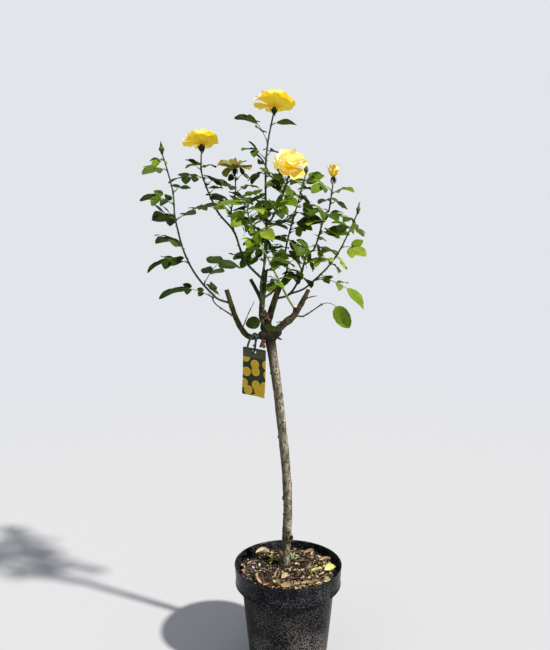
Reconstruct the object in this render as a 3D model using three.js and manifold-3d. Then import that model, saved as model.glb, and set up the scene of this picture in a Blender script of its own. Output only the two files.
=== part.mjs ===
// A standard rose in a round nursery pot: a clear grafted stem under an open crown of flowering canes.
// Millimetres, +Z up, +Y to the back. The origin is the centre of the pot's flat underside.
import * as THREE from "three";
import { mergeVertices } from "three/addons/utils/BufferGeometryUtils.js";
import Module from "manifold-3d";

const wasm = await Module();
wasm.setup();

// Driving sizes
const CLEARANCE = 0.3; // left between two pieces that touch
const SLIVER = 0.06; // the smallest step that a fused mass keeps
const TURN = 2 * Math.PI;
const UP = new THREE.Vector3(0, 0, 1);

const POT = {
  height: 201.5,
  baseRadius: 82,
  shoulderRadius: 99, // of the body, just under the collar
  collarFootRadius: 112,
  collarRadius: 114.5,
  collarHeight: 40,
  wall: 2.4,
  floor: 3.2,
  edge: 1.2, // rounding of the rim and of the bead under the collar
  facets: 36,
  drainHoles: 6,
  drainHoleRadius: 6,
  drainCircle: 60,
};

const SOIL = { top: 184, relief: 2.6, rings: 4, facets: 36, levelRadius: 21 };

// The stem leans and bows on its way up to the graft.
const TRUNK = {
  course: [
    [-7, 25, 176],
    [-4, 22, 230],
    [0, 18, 300],
    [-3, 13, 385],
    [-14, 9, 500],
    [-26, 7, 600],
    [-39, 5, 685],
    [-44, 4, 704],
  ],
  radius: 9.8,
  headRadius: 10.8,
  flareRadius: 13.4,
  flareHeight: 46,
  facets: 10,
  steps: 18,
  ripple: 0.35, // of its girth, with the turns of the ripple from foot to head
  ripples: 6.5,
};

// Knobs of the graft head and of pruning scars: centre, radius
const KNOBS = [
  [[-37, 4, 690], 15],
  [[-54, 2, 691], 10.5],
  [[-47, 5, 709], 13],
  [[-25, -1, 699], 12],
  [[1, 17, 250], 9.8],
  [[-13, 21, 213], 8.2],
];
const SNAG = { from: [-27, 0, 688], to: [-13, -4, 682], foot: 3, tip: 1.4 };

// How finely limbs are drawn: sides of the tube and rings along it
const BOUGH_MESH = { sides: 8, rings: 10, spurSides: 5, spurRings: 4 };
const CANE_MESH = { sides: 4, ringsPerPoint: 2 };
const BEAD = 4; // spacing of the balls that keep leaves off a limb

// Each bough: radius at its foot and at its cut tip, and the points that it runs through
const BOUGHS = {
  bough_left: {
    foot: 6.2,
    tip: 4.9,
    course: [[-50, 2, 691], [-80, -2, 688], [-97, -4, 702], [-113, -6, 734], [-130, -10, 788]],
    spurs: [{ foot: 1.4, tip: 0.9, course: [[-98, -4, 704], [-84, -7, 738], [-72, -9, 763]] }],
  },
  bough_centre: {
    foot: 6.3,
    tip: 5.2,
    course: [[-47, 2, 709], [-56, -3, 731], [-54, -5, 772], [-48, -5, 830]],
    spurs: [{ foot: 4.3, tip: 3.9, course: [[-55, -4, 758], [-62, 0, 777], [-80, 5, 811]] }],
  },
  bough_middle: {
    foot: 7.2,
    tip: 6.2,
    course: [[-42, 10, 706], [-42, 16, 722], [-32, 19, 756], [-17, 25, 802]],
    spurs: [],
  },
  bough_right: {
    foot: 8.6,
    tip: 4.3,
    course: [[-30, -1, 696], [-22, -5, 704], [-5, -10, 719], [13, -14, 735], [33, -18, 769], [42, -20, 788]],
    spurs: [
      { foot: 5.2, tip: 4.4, course: [[12, -13, 733], [14, -20, 744], [14, -25, 753]] },
      { foot: 1.7, tip: 0.9, course: [[31, -17, 765], [45, -18, 772], [60, -20, 775]] },
      { foot: 1.6, tip: 1.1, course: [[4, -12, 727], [-11, -12, 722], [-25, -11, 719]] },
    ],
  },
};

// Each cane: the limb that carries it, its radius at foot and tip, the points that it runs through,
// and its leaves as [share of its length, compass bearing, rise, length, arch]. Bearings are in
// degrees from +X towards +Y, and the arch is the leaf's bow upward as a share of its length.
// A sixth value makes its side leaflets smaller, and 0 leaves a single blade on a short stalk.
// A cane may have its own direction that its blades face.
const CANES = {
  cane_left: {
    on: "bough_left",
    seed: 11,
    foot: 2.6,
    tip: 1.5,
    course: [
      [-126, -6, 758],
      [-158, -9, 776],
      [-206, -16, 840],
      [-233, -26, 925],
      [-237, -35, 989],
      [-257, -45, 1063],
    ],
    light: [0.25, -0.22, 0.94],
    leaves: [
      [0.2, -31, 24, 96, 0.55],
      [0.35, -170, -8, 89, 0.3],
      [0.47, 142, 14, 75, 0.2],
      [0.61, -12, 19, 100, 0.2],
      [0.64, 132, 2, 80, 0.2],
      [0.7, -171, 14, 68, 0.25],
      [0.77, 70, 24, 58, 0.2],
      [0.9, 153, 4, 63, 0.2],
      [0.96, -107, -23, 48, 0.2],
    ],
    flower: { kind: "bud", width: 10.5, height: 19, facing: [-0.1, 0, 1] },
  },
  cane_low_left: {
    on: "bough_left",
    seed: 23,
    foot: 2,
    tip: 1.2,
    course: [[-115, -8, 728], [-149, -34, 756], [-157, -45, 773]],
    light: [0.25, -0.3, 0.92],
    leaves: [
      [0.97, -161, 5, 106, 0.25, 0.5],
      [0.9, -81, 46, 47, 0.1],
      [0.55, 80, 20, 55, 0.2],
    ],
  },
  cane_second: {
    on: "bough_centre",
    seed: 37,
    foot: 2.9,
    tip: 1.7,
    course: [
      [-58, -4, 807],
      [-91, 2, 849],
      [-117, 14, 914],
      [-153, 26, 959],
      [-187, 45, 1039],
      [-191, 60, 1105],
    ],
    light: [0.3, -0.35, 0.88],
    leaves: [
      [0.14, 126, 25, 68, 0.2],
      [0.54, 139, 22, 54, 0.2],
      [0.67, -53, 9, 51, 0.2],
      [0.73, 61, 24, 62, 0.2],
      [0.79, -161, -6, 76, 0.1],
      [0.78, -48, -7, 54, 0.1],
      [0.84, 144, 38, 54, 0],
      [0.86, 51, 20, 46, 0.1],
    ],
    flower: { kind: "open", width: 79, height: 39, facing: [-0.08, 0.05, 1] },
  },
  cane_back_left: {
    on: "cane_second",
    seed: 41,
    foot: 2.2,
    tip: 1.5,
    course: [[-117, 16, 914], [-125, 51, 961], [-118, 87, 1012], [-122, 125, 1069]],
    light: [0.3, -0.4, 0.86],
    leaves: [
      [0.1, 52, 0, 63, 0.2],
      [0.17, -56, -4, 73, 0.2],
      [0.3, -114, 4, 64, 0.2],
      [0.47, -59, -2, 70, 0.2],
      [0.61, -30, 12, 63, 0.3],
      [0.71, 135, 21, 64, 0.1],
      [0.83, 41, 16, 48, 0.5],
      [0.93, -121, -32, 28, 0.2],
    ],
    flower: { kind: "spent", width: 80, height: 34, facing: [0.05, -0.35, 1] },
  },
  cane_top: {
    on: "bough_centre",
    seed: 53,
    foot: 3,
    tip: 1.8,
    course: [[-59, -2, 758], [-57, -14, 800], [-47, 3, 876], [-47, 11, 1064], [-30, 15, 1170]],
    light: [0.27, -0.42, 0.86],
    leaves: [
      [0.29, 63, 16, 53, 0.1],
      [0.3, 140, 9, 63, 0.2],
      [0.34, -52, -8, 64, 0.2],
      [0.36, -97, -16, 79, 0.1],
      [0.39, -47, -1, 63, 0.2],
      [0.41, 119, 21, 67, 0.2],
      [0.515, -125, -2, 62, 0.2],
      [0.54, 141, 15, 66, 0.2],
      [0.6, -56, -14, 62, 0.2],
      [0.655, -59, -23, 76, 0.25],
      [0.67, 122, -6, 63, 0.3],
      [0.74, -139, 14, 63, 0.3],
      [0.76, 60, 28, 52, 0.2],
      [0.83, -165, 43, 78, 0.5],
      [0.92, -10, 8, 50, 0.25, 0],
    ],
    flower: { kind: "open", width: 86, height: 42, facing: [0.02, 0, 1] },
  },
  cane_front: {
    on: "cane_top",
    seed: 67,
    foot: 2.4,
    tip: 1.7,
    course: [[-47, 0, 925], [-33, -16, 938], [-12, -60, 978], [0, -95, 1014]],
    leaves: [
      [0.32, -103, 5, 64, 0.2],
      [0.48, -61, -9, 62, 0.2],
      [0.6, 60, 3, 63, 0.2],
      [0.77, -70, 0, 63, 0.2],
      [0.86, -119, -2, 47, 0.2],
    ],
    flower: { kind: "open", width: 66, height: 46, facing: [0.02, -0.7, 1] },
  },
  cane_young: {
    on: "bough_right",
    seed: 71,
    foot: 2.5,
    tip: 1.4,
    course: [[12, -20, 744], [-6, -31, 779], [-76, -69, 918], [-81, -80, 956]],
    leaves: [
      [0.3, -114, -15, 57, 0.2],
      [0.41, -62, 11, 63, 0.2],
      [0.66, -112, -10, 62, 0.2],
      [0.75, -62, -10, 69, 0.2],
      [0.82, -118, 0, 62, 0.2],
      [0.91, -61, 1, 62, 0.2],
      [0.97, 117, 23, 64, 0.2],
      [0.99, -80, 12, 62, 0.2],
    ],
  },
  cane_back_right: {
    on: "bough_centre",
    seed: 83,
    foot: 2.6,
    tip: 1.5,
    course: [[-52, -3, 768], [-24, 8, 793], [-1, 26, 833], [-3, 41, 884], [42, 95, 1055]],
    leaves: [
      [0.31, 54, 13, 62, 0.2],
      [0.4, 118, 12, 62, 0.2],
      [0.48, -68, -19, 68, 0.2],
      [0.56, -45, -3, 62, 0.2],
      [0.64, 114, 5, 66, 0.2],
      [0.69, -62, -21, 63, 0.2],
      [0.77, 59, 15, 63, 0.2],
      [0.82, -120, -10, 64, 0.2],
      [0.9, 120, 22, 48, 0.2],
      [0.93, -36, 22, 46, 0.1],
    ],
    flower: { kind: "bud", width: 9.5, height: 22, facing: [0.1, 0, 1] },
  },
  cane_back: {
    on: "bough_centre",
    seed: 97,
    foot: 2.5,
    tip: 1.4,
    course: [[-51, -5, 797], [-52, 40, 850], [-50, 95, 915], [-44, 140, 985]],
    leaves: [
      [0.3, 160, 10, 74, 0.25],
      [0.42, 30, 5, 78, 0.2],
      [0.55, 105, 0, 84, 0.2],
      [0.64, -160, 12, 66, 0.2],
      [0.73, 35, 18, 80, 0.25],
      [0.82, 130, 5, 82, 0.2],
      [0.9, 60, 10, 72, 0.2],
      [0.97, 100, 40, 58, 0.2],
    ],
    flower: { kind: "bud", width: 9, height: 20, facing: [0.1, 0.2, 1] },
  },
  cane_right: {
    on: "bough_middle",
    seed: 101,
    foot: 2.8,
    tip: 1.6,
    course: [
      [-24, 21, 768],
      [2, 22, 779],
      [26, 26, 815],
      [40, 30, 865],
      [59, 32, 881],
      [81, 38, 952],
      [91, 40, 965],
      [100, 45, 1032],
    ],
    leaves: [
      [0.22, -65, -7, 62, 0.2],
      [0.29, -136, -24, 64, 0.15],
      [0.37, 61, -12, 59, 0.2],
      [0.5, -131, -17, 63, 0.1],
      [0.6, -45, -16, 62, 0.2],
      [0.65, -122, -2, 62, 0.2],
      [0.7, -21, -10, 62, 0.45],
      [0.73, -71, -13, 60, 0.1],
      [0.77, -137, -8, 63, 0.2],
      [0.82, 54, 10, 62, 0.2],
      [0.84, 116, 5, 50, 0.2],
      [0.89, -52, 2, 63, 0.2],
      [0.91, -140, -6, 62, 0.45],
    ],
    flower: { kind: "half", width: 28, height: 30, facing: [0, 0, 1] },
  },
  cane_far_right: {
    on: "cane_right",
    seed: 113,
    foot: 2.4,
    tip: 1.4,
    course: [[2, 22, 779], [43, 7, 797], [97, -20, 854], [138, -60, 940]],
    light: [0.3, -0.42, 0.85],
    leaves: [
      [0.28, -11, -30, 132, 0.35, 0.6],
      [0.36, 67, -16, 47, 0.1],
      [0.49, -67, -20, 46, 0.1],
      [0.51, -130, -5, 62, 0.25],
      [0.57, 45, -27, 46, 0.1],
      [0.59, 111, 14, 63, 0.2],
      [0.66, -35, -18, 62, 0.3],
      [0.81, -50, -5, 47, 0.3],
      [0.85, -116, -6, 63, 0.2],
      [0.93, 106, 11, 47, 0.2],
    ],
    flower: { kind: "bud", width: 8, height: 17, facing: [0.15, 0, 1] },
  },
  cane_low_right: {
    on: "bough_right",
    seed: 127,
    foot: 2,
    tip: 1.3,
    course: [[13, -14, 735], [32, -24, 733], [63, -45, 754]],
    light: [0.2, -0.95, 0.25],
    leaves: [[0.97, -24, -39, 79, 0.55, 0]],
  },
  cane_short: {
    on: "bough_centre",
    seed: 131,
    foot: 1.7,
    tip: 1.1,
    course: [[-49, -5, 826], [-30, -6, 836], [-6, -10, 849]],
    leaves: [
      [0.95, 69, 25, 47, 0.1],
      [0.58, -66, 41, 46, 0.1],
    ],
  },
  shoot_head: {
    on: "trunk",
    seed: 139,
    foot: 1.8,
    tip: 1.2,
    course: [[-47, 3, 706], [-50, -13, 711], [-53, -21, 718]],
    light: [0.1, -0.96, 0.2],
    leaves: [
      [0.95, 190, -8, 35, 0.1, 0],
      [0.7, -38, -30, 33, 0.2],
    ],
  },
};

// Compound leaves: sizes as shares of the whole leaf's length
const LEAF = {
  terminal: 0.5,
  singleShare: 0.8,
  shortest: 20,
  longest: 54,
  fivePartLength: 64, // a leaf at least this long has two pairs of leaflets
  singleLength: 34, // a leaf under this length has no pairs
  pairSeats: [0.44, 0.2],
  pairShares: [0.86, 0.7],
  seatLength: 2, // of the stalk's side that opens into a leaflet
  spread: 1.16, // of a leaflet from its stalk, in radians
  aspect: 0.58,
  light: [0.28, -0.62, 0.73], // where the blades turn their faces
  roll: 0.7, // most that a leaf is turned away from that
  twist: 0.3, // and one leaflet from its leaf
  stalkRadius: 1.1,
  stalkTipRadius: 0.8,
  thickness: 1.1,
  rib: 0.48,
  outline: [
    [0.3, 0.94],
    [0.68, 0.86],
  ],
  elbowRoom: 6.5,
  stemRoom: 2.4,
  stalkMarks: [0.35, 0.6, 0.8],
};

// Flowers: whorls of petals from the heart outwards, each with its lean and its reach as a share of
// the flower's width, or of its height where it stands upright
const FLOWERS = {
  open: {
    whorls: [
      { count: 3, start: 0.05, lean: 0.75, reach: 0.42 },
      { count: 4, start: 0.45, lean: 1.45, reach: 0.46 },
      { count: 5, start: 0.95, lean: 1.85, reach: 0.5 },
    ],
    upright: false,
    heart: 0.1,
    heartRise: 0.75,
    hip: 4.4,
    sepalCount: 5,
    sepal: 20,
    sag: 0,
    looseness: 1,
  },
  spent: {
    whorls: [{ count: 6, start: 0.7, lean: 1.75, reach: 0.54 }],
    upright: false,
    heart: 0.1,
    heartRise: 0.5,
    hip: 4.4,
    sepalCount: 5,
    sepal: 20,
    sag: 0.1,
    looseness: 3,
  },
  half: {
    whorls: [{ count: 4, start: 0.2, lean: 0.5, reach: 0.95 }],
    upright: true,
    heart: 0.38,
    heartRise: 0.85,
    hip: 3.6,
    sepalCount: 5,
    sepal: 15,
    sag: 0,
    looseness: 1,
  },
  bud: { whorls: [], heart: 0.5, heartRise: 1, hip: 3, sepalCount: 3, sepal: 17 },
};
const PETAL = { notch: 0.22, cuts: 3, thickness: 1.4, play: 0.12 };
const SEPAL = { notch: 0.75, cuts: 2, thickness: 1, climb: 1.05 };

const LABEL = {
  width: 57,
  length: 106,
  thickness: 0.9,
  curl: 6,
  slotWidth: 11.5,
  slotHeight: 8,
  slotDrop: 7.5, // from the card's top edge to the middle of the slot
  turn: -0.5,
  tilt: 0.13,
  lean: 0.28, // its foot hangs back
  columns: 4,
  rows: 7,
};
// The strap's belt lies round the bough at `bough` and through the slot at `hang` below it
const STRAP = {
  bough: [-72, -1, 688.6],
  boughRadius: 6.4,
  slotRadius: 4.1,
  width: 6,
  thickness: 0.8,
  hang: 32,
  facets: 20,
};

// One repeatable run of numbers from 0 to 1 for each seed
function drawing(seed) {
  let state = seed;
  const next = () => {
    state = (state * 1664525 + 1013904223) % 4294967296;
    return state / 4294967296;
  };
  next();
  return (low, high) => low + (high - low) * next();
}

const vec = (p) => new THREE.Vector3(...p);
const LIGHT = vec(LEAF.light).normalize();

const smooth = (points) => new THREE.CatmullRomCurve3(points, false, "catmullrom", 0.5);

// A closed solid from a three.js geometry, with its shared vertices merged
function solid(geometry) {
  const bare = new THREE.BufferGeometry();
  bare.setAttribute("position", geometry.getAttribute("position"));
  bare.setIndex(geometry.getIndex());
  const merged = mergeVertices(bare, 1e-4);
  return new wasm.Manifold(
    new wasm.Mesh({
      numProp: 3,
      vertProperties: new Float32Array(merged.getAttribute("position").array),
      triVerts: new Uint32Array(merged.getIndex().array),
    }),
  );
}

const fused = (solids) => wasm.Manifold.union(solids);

// The outer skin of the largest body: hollows that fusing sealed are filled and scraps are dropped
function wholeOf(shape) {
  return shape.decompose().reduce((best, body) => (body.volume() > best.volume() ? body : best));
}

// The drawn mesh of a solid, with its own origin at `origin`
function meshOf(name, shape, material, origin = new THREE.Vector3()) {
  const { vertProperties, triVerts, numProp, numVert } = shape.getMesh();
  const places = new Float32Array(numVert * 3);
  for (let i = 0; i < numVert; i += 1) {
    places[3 * i] = vertProperties[numProp * i] - origin.x;
    places[3 * i + 1] = vertProperties[numProp * i + 1] - origin.y;
    places[3 * i + 2] = vertProperties[numProp * i + 2] - origin.z;
  }
  const geometry = new THREE.BufferGeometry();
  geometry.setAttribute("position", new THREE.BufferAttribute(places, 3));
  geometry.setIndex(new THREE.BufferAttribute(new Uint32Array(triVerts), 1));
  geometry.computeVertexNormals();
  const mesh = new THREE.Mesh(geometry, material);
  mesh.name = name;
  mesh.position.copy(origin);
  return mesh;
}

function indexed(places, faces) {
  const geometry = new THREE.BufferGeometry();
  geometry.setAttribute("position", new THREE.Float32BufferAttribute(places, 3));
  geometry.setIndex(faces);
  return geometry;
}

// A closed tube along a curve: rings of `facets` points and a flat cap at each end
function tube(curve, radiusAt, facets, steps) {
  const { normals, binormals } = curve.computeFrenetFrames(steps);
  const places = [];
  const faces = [];
  for (let i = 0; i <= steps; i += 1) {
    const centre = curve.getPointAt(i / steps);
    for (let j = 0; j < facets; j += 1) {
      const angle = (TURN * j) / facets;
      const radius = radiusAt(i / steps, angle);
      const point = centre
        .clone()
        .addScaledVector(normals[i], radius * Math.cos(angle))
        .addScaledVector(binormals[i], radius * Math.sin(angle));
      places.push(...point.toArray());
    }
  }
  const foot = places.length / 3;
  places.push(...curve.getPointAt(0).toArray(), ...curve.getPointAt(1).toArray());
  for (let j = 0; j < facets; j += 1) {
    const k = (j + 1) % facets;
    for (let i = 0; i < steps; i += 1) {
      const low = i * facets;
      const high = low + facets;
      faces.push(low + j, low + k, high + j, low + k, high + k, high + j);
    }
    const last = steps * facets;
    faces.push(foot, k, j, foot + 1, last + j, last + k);
  }
  return solid(indexed(places, faces));
}

const tapered = (foot, tip) => (share) => foot + (tip - foot) * share;

// A limb as its curve and its taper, from which it can be made again a little wider
function limb(points, foot, tip, facets, steps) {
  const curve = smooth(points.map(vec));
  const radiusAt = tapered(foot, tip);
  const made = (extra = 0) => tube(curve, (share) => radiusAt(share) + extra, facets, steps);
  return { curve, radiusAt, made };
}

function ball(centre, radius) {
  const geometry = new THREE.SphereGeometry(radius, 8, 5);
  return solid(geometry.translate(...centre));
}

// Pot: wall and collar in one turned profile, with drain holes through the floor
function potProfile() {
  const { height, baseRadius, shoulderRadius, collarFootRadius, collarRadius, wall, floor, edge } = POT;
  const ledge = height - POT.collarHeight;
  return [
    [0, 0],
    [baseRadius - 2, 0],
    [baseRadius, 2],
    [shoulderRadius, ledge - 3],
    [collarFootRadius + edge, ledge - edge],
    [collarFootRadius + edge, ledge + edge],
    [collarFootRadius, ledge + 2 * edge],
    [collarRadius, height - 3 * edge],
    [collarRadius + edge / 2, height - edge],
    [collarRadius - edge / 2, height],
    [collarRadius - wall, height - edge],
    [collarFootRadius - wall, ledge + wall],
    [shoulderRadius - wall, ledge - 3 + wall],
    [baseRadius - wall, floor],
    [0, floor],
  ].map(([radius, rise]) => new THREE.Vector2(radius, rise));
}

function pot() {
  const turned = new THREE.LatheGeometry(potProfile(), POT.facets).rotateX(Math.PI / 2);
  let shape = solid(turned);
  for (let i = 0; i < POT.drainHoles; i += 1) {
    const angle = (TURN * i) / POT.drainHoles;
    const drill = new THREE.CylinderGeometry(POT.drainHoleRadius, POT.drainHoleRadius, 4 * POT.floor, 10)
      .rotateX(Math.PI / 2)
      .translate(POT.drainCircle * Math.cos(angle), POT.drainCircle * Math.sin(angle), 0);
    shape = shape.subtract(solid(drill));
  }
  return shape;
}

// Low lumps of the soil's surface, level round the foot of the stem
function soilLump(x, y) {
  const [stemX, stemY] = TRUNK.course[0];
  const away = Math.hypot(x - stemX, y - stemY);
  const share = THREE.MathUtils.smoothstep(away, SOIL.levelRadius, 2 * SOIL.levelRadius);
  const wave = Math.sin(x / 13 + 1.3) * Math.cos(y / 17 - 0.6) + 0.6 * Math.sin(x / 7 + y / 9);
  return SOIL.relief * share * wave * 0.5;
}

function soil() {
  const { height, baseRadius, shoulderRadius, collarFootRadius, collarRadius, wall, floor, edge } = POT;
  const ledge = height - POT.collarHeight;
  const inset = wall + CLEARANCE;
  const slope = (collarRadius - collarFootRadius) / (height - edge - ledge - wall);
  const topRadius = collarFootRadius - inset + slope * (SOIL.top - ledge - wall) - CLEARANCE;
  const profile = [
    [0, floor + CLEARANCE],
    [baseRadius - inset - CLEARANCE, floor + CLEARANCE],
    [shoulderRadius - inset - CLEARANCE, ledge - 3 + wall + CLEARANCE],
    [collarFootRadius - inset - CLEARANCE, ledge + wall + CLEARANCE],
  ];
  for (let i = SOIL.rings; i >= 0; i -= 1) {
    profile.push([(topRadius * i) / SOIL.rings, SOIL.top]);
  }
  const geometry = new THREE.LatheGeometry(
    profile.map(([radius, rise]) => new THREE.Vector2(radius, rise)),
    SOIL.facets,
  ).rotateX(Math.PI / 2);
  const places = geometry.getAttribute("position");
  for (let i = 0; i < places.count; i += 1) {
    if (places.getZ(i) > SOIL.top - 1) {
      places.setZ(i, SOIL.top + soilLump(places.getX(i), places.getY(i)));
    }
  }
  return solid(geometry);
}

// Trunk: a slim stem with a root flare, knobs and the graft head, cut flat on the soil
function trunkRadius(share) {
  const { radius, headRadius, flareRadius, flareHeight, ripple, ripples, course } = TRUNK;
  const length = course.at(-1)[2] - course[0][2];
  const flare = (flareRadius - radius) * Math.exp((-3 * share * length) / flareHeight);
  const head = (headRadius - radius) * THREE.MathUtils.smoothstep(share, 0.8, 0.95);
  return radius + flare + head + ripple * Math.sin(TURN * ripples * share);
}

function trunkPieces(extra) {
  const curve = smooth(TRUNK.course.map(vec));
  const stem = tube(curve, (share) => trunkRadius(share) + extra, TRUNK.facets, TRUNK.steps);
  const knobs = KNOBS.map(([centre, radius]) => ball(centre, radius + extra));
  const snag = limb([SNAG.from, SNAG.to], SNAG.foot, SNAG.tip, 6, 2).made(extra);
  return fused([stem, ...knobs, snag]);
}

function trunk() {
  const depth = 60;
  const below = new THREE.BoxGeometry(2 * depth, 2 * depth, depth).translate(
    TRUNK.course[0][0],
    TRUNK.course[0][1],
    SOIL.top + CLEARANCE - depth / 2,
  );
  return trunkPieces(0).subtract(solid(below));
}

// A bough's limb, followed by those of its spurs
function boughLimbs({ course, foot, tip, spurs }) {
  const { sides, rings, spurSides, spurRings } = BOUGH_MESH;
  const twigs = spurs.map((spur) => limb(spur.course, spur.foot, spur.tip, spurSides, spurRings));
  return [limb(course, foot, tip, sides, rings), ...twigs];
}

// The outline of a leaflet from one side of its foot round the tip to the other, and its middle.
// It bows down to its tip, and its sides are lifted from the rib.
function bladeCorners({ foot, along, face, length, bow, lift, aspect = LEAF.aspect }) {
  const width = length * aspect;
  const side = new THREE.Vector3().crossVectors(along, face).normalize();
  const point = (share, across, drop = 0) =>
    foot
      .clone()
      .addScaledVector(along, length * share)
      .addScaledVector(side, (width / 2) * across)
      .addScaledVector(face, lift * Math.abs(across) * width - bow * length * share * share - drop);
  const right = LEAF.outline.map(([share, across]) => point(share, across));
  const left = LEAF.outline.map(([share, across]) => point(share, -across)).reverse();
  return {
    round: [...right, point(1, 0), ...left],
    upper: point(LEAF.rib, 0),
    lower: point(LEAF.rib, 0, LEAF.thickness),
  };
}

// Points spread over a blade, by which it keeps its distance
function bladeMarks({ foot }, round, upper) {
  const halfway = round.map((place) => place.clone().lerp(upper, 0.5));
  return [foot.clone().lerp(upper, 0.5), upper, ...halfway, ...round];
}

// A blade as faces of a growing mesh. It springs from an edge on its upper side and from an edge or
// a single corner on its lower side, each given from its right end to its left end.
function growBlade(places, faces, plan, upperEdge, lowerEdge) {
  const { round, upper, lower } = bladeCorners(plan);
  const first = places.length;
  places.push(...round, upper, lower);
  const ring = round.map((_, i) => first + i);
  const top = first + round.length;
  const above = [upperEdge[0], ...ring, upperEdge[1]];
  const below = [lowerEdge[0], ...ring, lowerEdge.at(-1)];
  for (let i = 0; i < above.length - 1; i += 1) {
    faces.push(top, above[i], above[i + 1], top + 1, below[i + 1], below[i]);
  }
  faces.push(top, upperEdge[1], upperEdge[0]);
  if (lowerEdge.length > 1) faces.push(top + 1, lowerEdge[0], lowerEdge[1]);
  faces.push(upperEdge[0], lowerEdge[0], ring[0], upperEdge[1], ring.at(-1), lowerEdge.at(-1));
  return bladeMarks(plan, round, upper);
}

// A narrow blade by itself, for a sepal: its foot is a small triangle
function sepalBlade(plan) {
  const side = new THREE.Vector3().crossVectors(plan.along, plan.face).normalize();
  const places = [
    plan.foot.clone().addScaledVector(side, 1),
    plan.foot.clone().addScaledVector(side, -1),
    plan.foot.clone().addScaledVector(plan.face, -LEAF.thickness),
  ];
  const faces = [0, 1, 2];
  growBlade(places, faces, plan, [0, 1], [2]);
  return outward(indexed(places.flatMap((place) => place.toArray()), faces));
}

// Where each part of a compound leaf sits: its stalk's curve and the leaflets along it
function leafPlan(foot, [, bearing, rise, length, arch, pairSize = 1], draw, lone, light) {
  const heading = THREE.MathUtils.degToRad(bearing);
  const climb = THREE.MathUtils.degToRad(rise);
  const reach = new THREE.Vector3(
    Math.cos(climb) * Math.cos(heading),
    Math.cos(climb) * Math.sin(heading),
    Math.sin(climb),
  ).multiplyScalar(length);
  const tip = foot.clone().add(reach);
  const knee = foot.clone().addScaledVector(reach, 0.5).addScaledVector(UP, arch * length);
  const stalk = new THREE.QuadraticBezierCurve3(foot, knee, tip);
  const roll = draw(-LEAF.roll, LEAF.roll);
  const shape = { bow: draw(0.05, 0.28), lift: draw(0.04, 0.16) };
  const terminalShare = pairSize === 0 ? LEAF.singleShare : LEAF.terminal;
  const terminal = THREE.MathUtils.clamp(terminalShare * length, LEAF.shortest, LEAF.longest);
  const frameAt = (share) => {
    const along = stalk.getTangent(share);
    const side = new THREE.Vector3().crossVectors(along, light).normalize().applyAxisAngle(along, roll);
    return { at: stalk.getPoint(share), along, side, face: new THREE.Vector3().crossVectors(side, along) };
  };
  const seat = 1 - terminal / length;
  const end = frameAt(seat);
  const onward = tip.clone().sub(end.at).normalize();
  const last = { foot: end.at, along: onward, face: end.face, length: terminal, ...shape };
  const fullPairs = length >= LEAF.fivePartLength ? 2 : length >= LEAF.singleLength ? 1 : 0;
  const pairCount = lone || pairSize === 0 ? 0 : fullPairs;
  const pairs = LEAF.pairSeats.slice(0, pairCount).map((share, i) => {
    const { at, along, side, face } = frameAt(share);
    const blades = [1, -1].map((hand) => {
      const spread = LEAF.spread + draw(-0.08, 0.08);
      const size = terminal * LEAF.pairShares[i] * pairSize * draw(0.85, 1.06);
      const lean = along
        .clone()
        .multiplyScalar(Math.cos(spread))
        .addScaledVector(side, hand * Math.sin(spread));
      const turnedFace = face.clone().applyAxisAngle(lean, draw(-LEAF.twist, LEAF.twist));
      return { foot: at, along: lean, face: turnedFace, length: size, ...shape };
    });
    return { share, blades };
  });
  return { frameAt, seat, last, pairs };
}

// A compound leaf as one closed mesh: a three-sided stalk with its keel down, whose side faces open
// into the leaflets of each pair and whose end opens into the last leaflet
function compoundLeaf({ frameAt, seat, last, pairs }, allowed) {
  const places = [];
  const faces = [];
  const ringAt = (share) => {
    const { at, side, face } = frameAt(share);
    const size = THREE.MathUtils.lerp(LEAF.stalkRadius, LEAF.stalkTipRadius, share / seat);
    const first = places.length;
    places.push(
      at.clone().addScaledVector(side, size).addScaledVector(face, size / 2),
      at.clone().addScaledVector(side, -size).addScaledVector(face, size / 2),
      at.clone().addScaledVector(face, -size),
    );
    return { right: first, left: first + 1, keel: first + 2 };
  };
  const quad = (a, b, c, d) => faces.push(a, b, c, a, c, d);
  const marks = [];
  const grow = (blade, upperEdge, lowerEdge) => {
    marks.push(...growBlade(places, faces, blade, upperEdge, lowerEdge));
  };
  const halfGap = LEAF.seatLength / 2 / (last.length / (1 - seat));
  let low = ringAt(0);
  faces.push(low.keel, low.right, low.left);
  const join = (high, rightBlade, leftBlade) => {
    quad(low.right, high.right, high.left, low.left);
    if (rightBlade) grow(rightBlade, [low.right, high.right], [low.keel, high.keel]);
    else quad(low.keel, high.keel, high.right, low.right);
    if (leftBlade) grow(leftBlade, [high.left, low.left], [high.keel, low.keel]);
    else quad(high.keel, low.keel, low.left, high.left);
    low = high;
  };
  for (const { share, blades } of [...pairs].reverse()) {
    const [right, left] = blades.map((blade) => (allowed(blade) ? blade : null));
    if (!right && !left) continue;
    join(ringAt(share - halfGap));
    join(ringAt(share + halfGap), right, left);
  }
  join(ringAt(seat));
  if (allowed(last)) {
    grow(last, [low.right, low.left], [low.keel]);
  } else {
    faces.push(low.left, low.right, low.keel);
  }
  return { shape: outward(indexed(places.flatMap((place) => place.toArray()), faces)), marks };
}

// Room that is already taken: limbs as rows of balls, and the leaflets of the masses made so far
const takenByLimbs = new Map();
const takenByLeaves = [];

function clearOf(marks, owner) {
  for (const mark of marks) {
    for (const [name, balls] of takenByLimbs) {
      if (name === owner) continue;
      for (const [centre, radius] of balls) {
        if (mark.distanceTo(centre) < radius + LEAF.stemRoom) return false;
      }
    }
    for (const other of takenByLeaves) {
      if (other.owner !== owner && mark.distanceTo(other.mark) < LEAF.elbowRoom) return false;
    }
  }
  return true;
}

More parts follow.
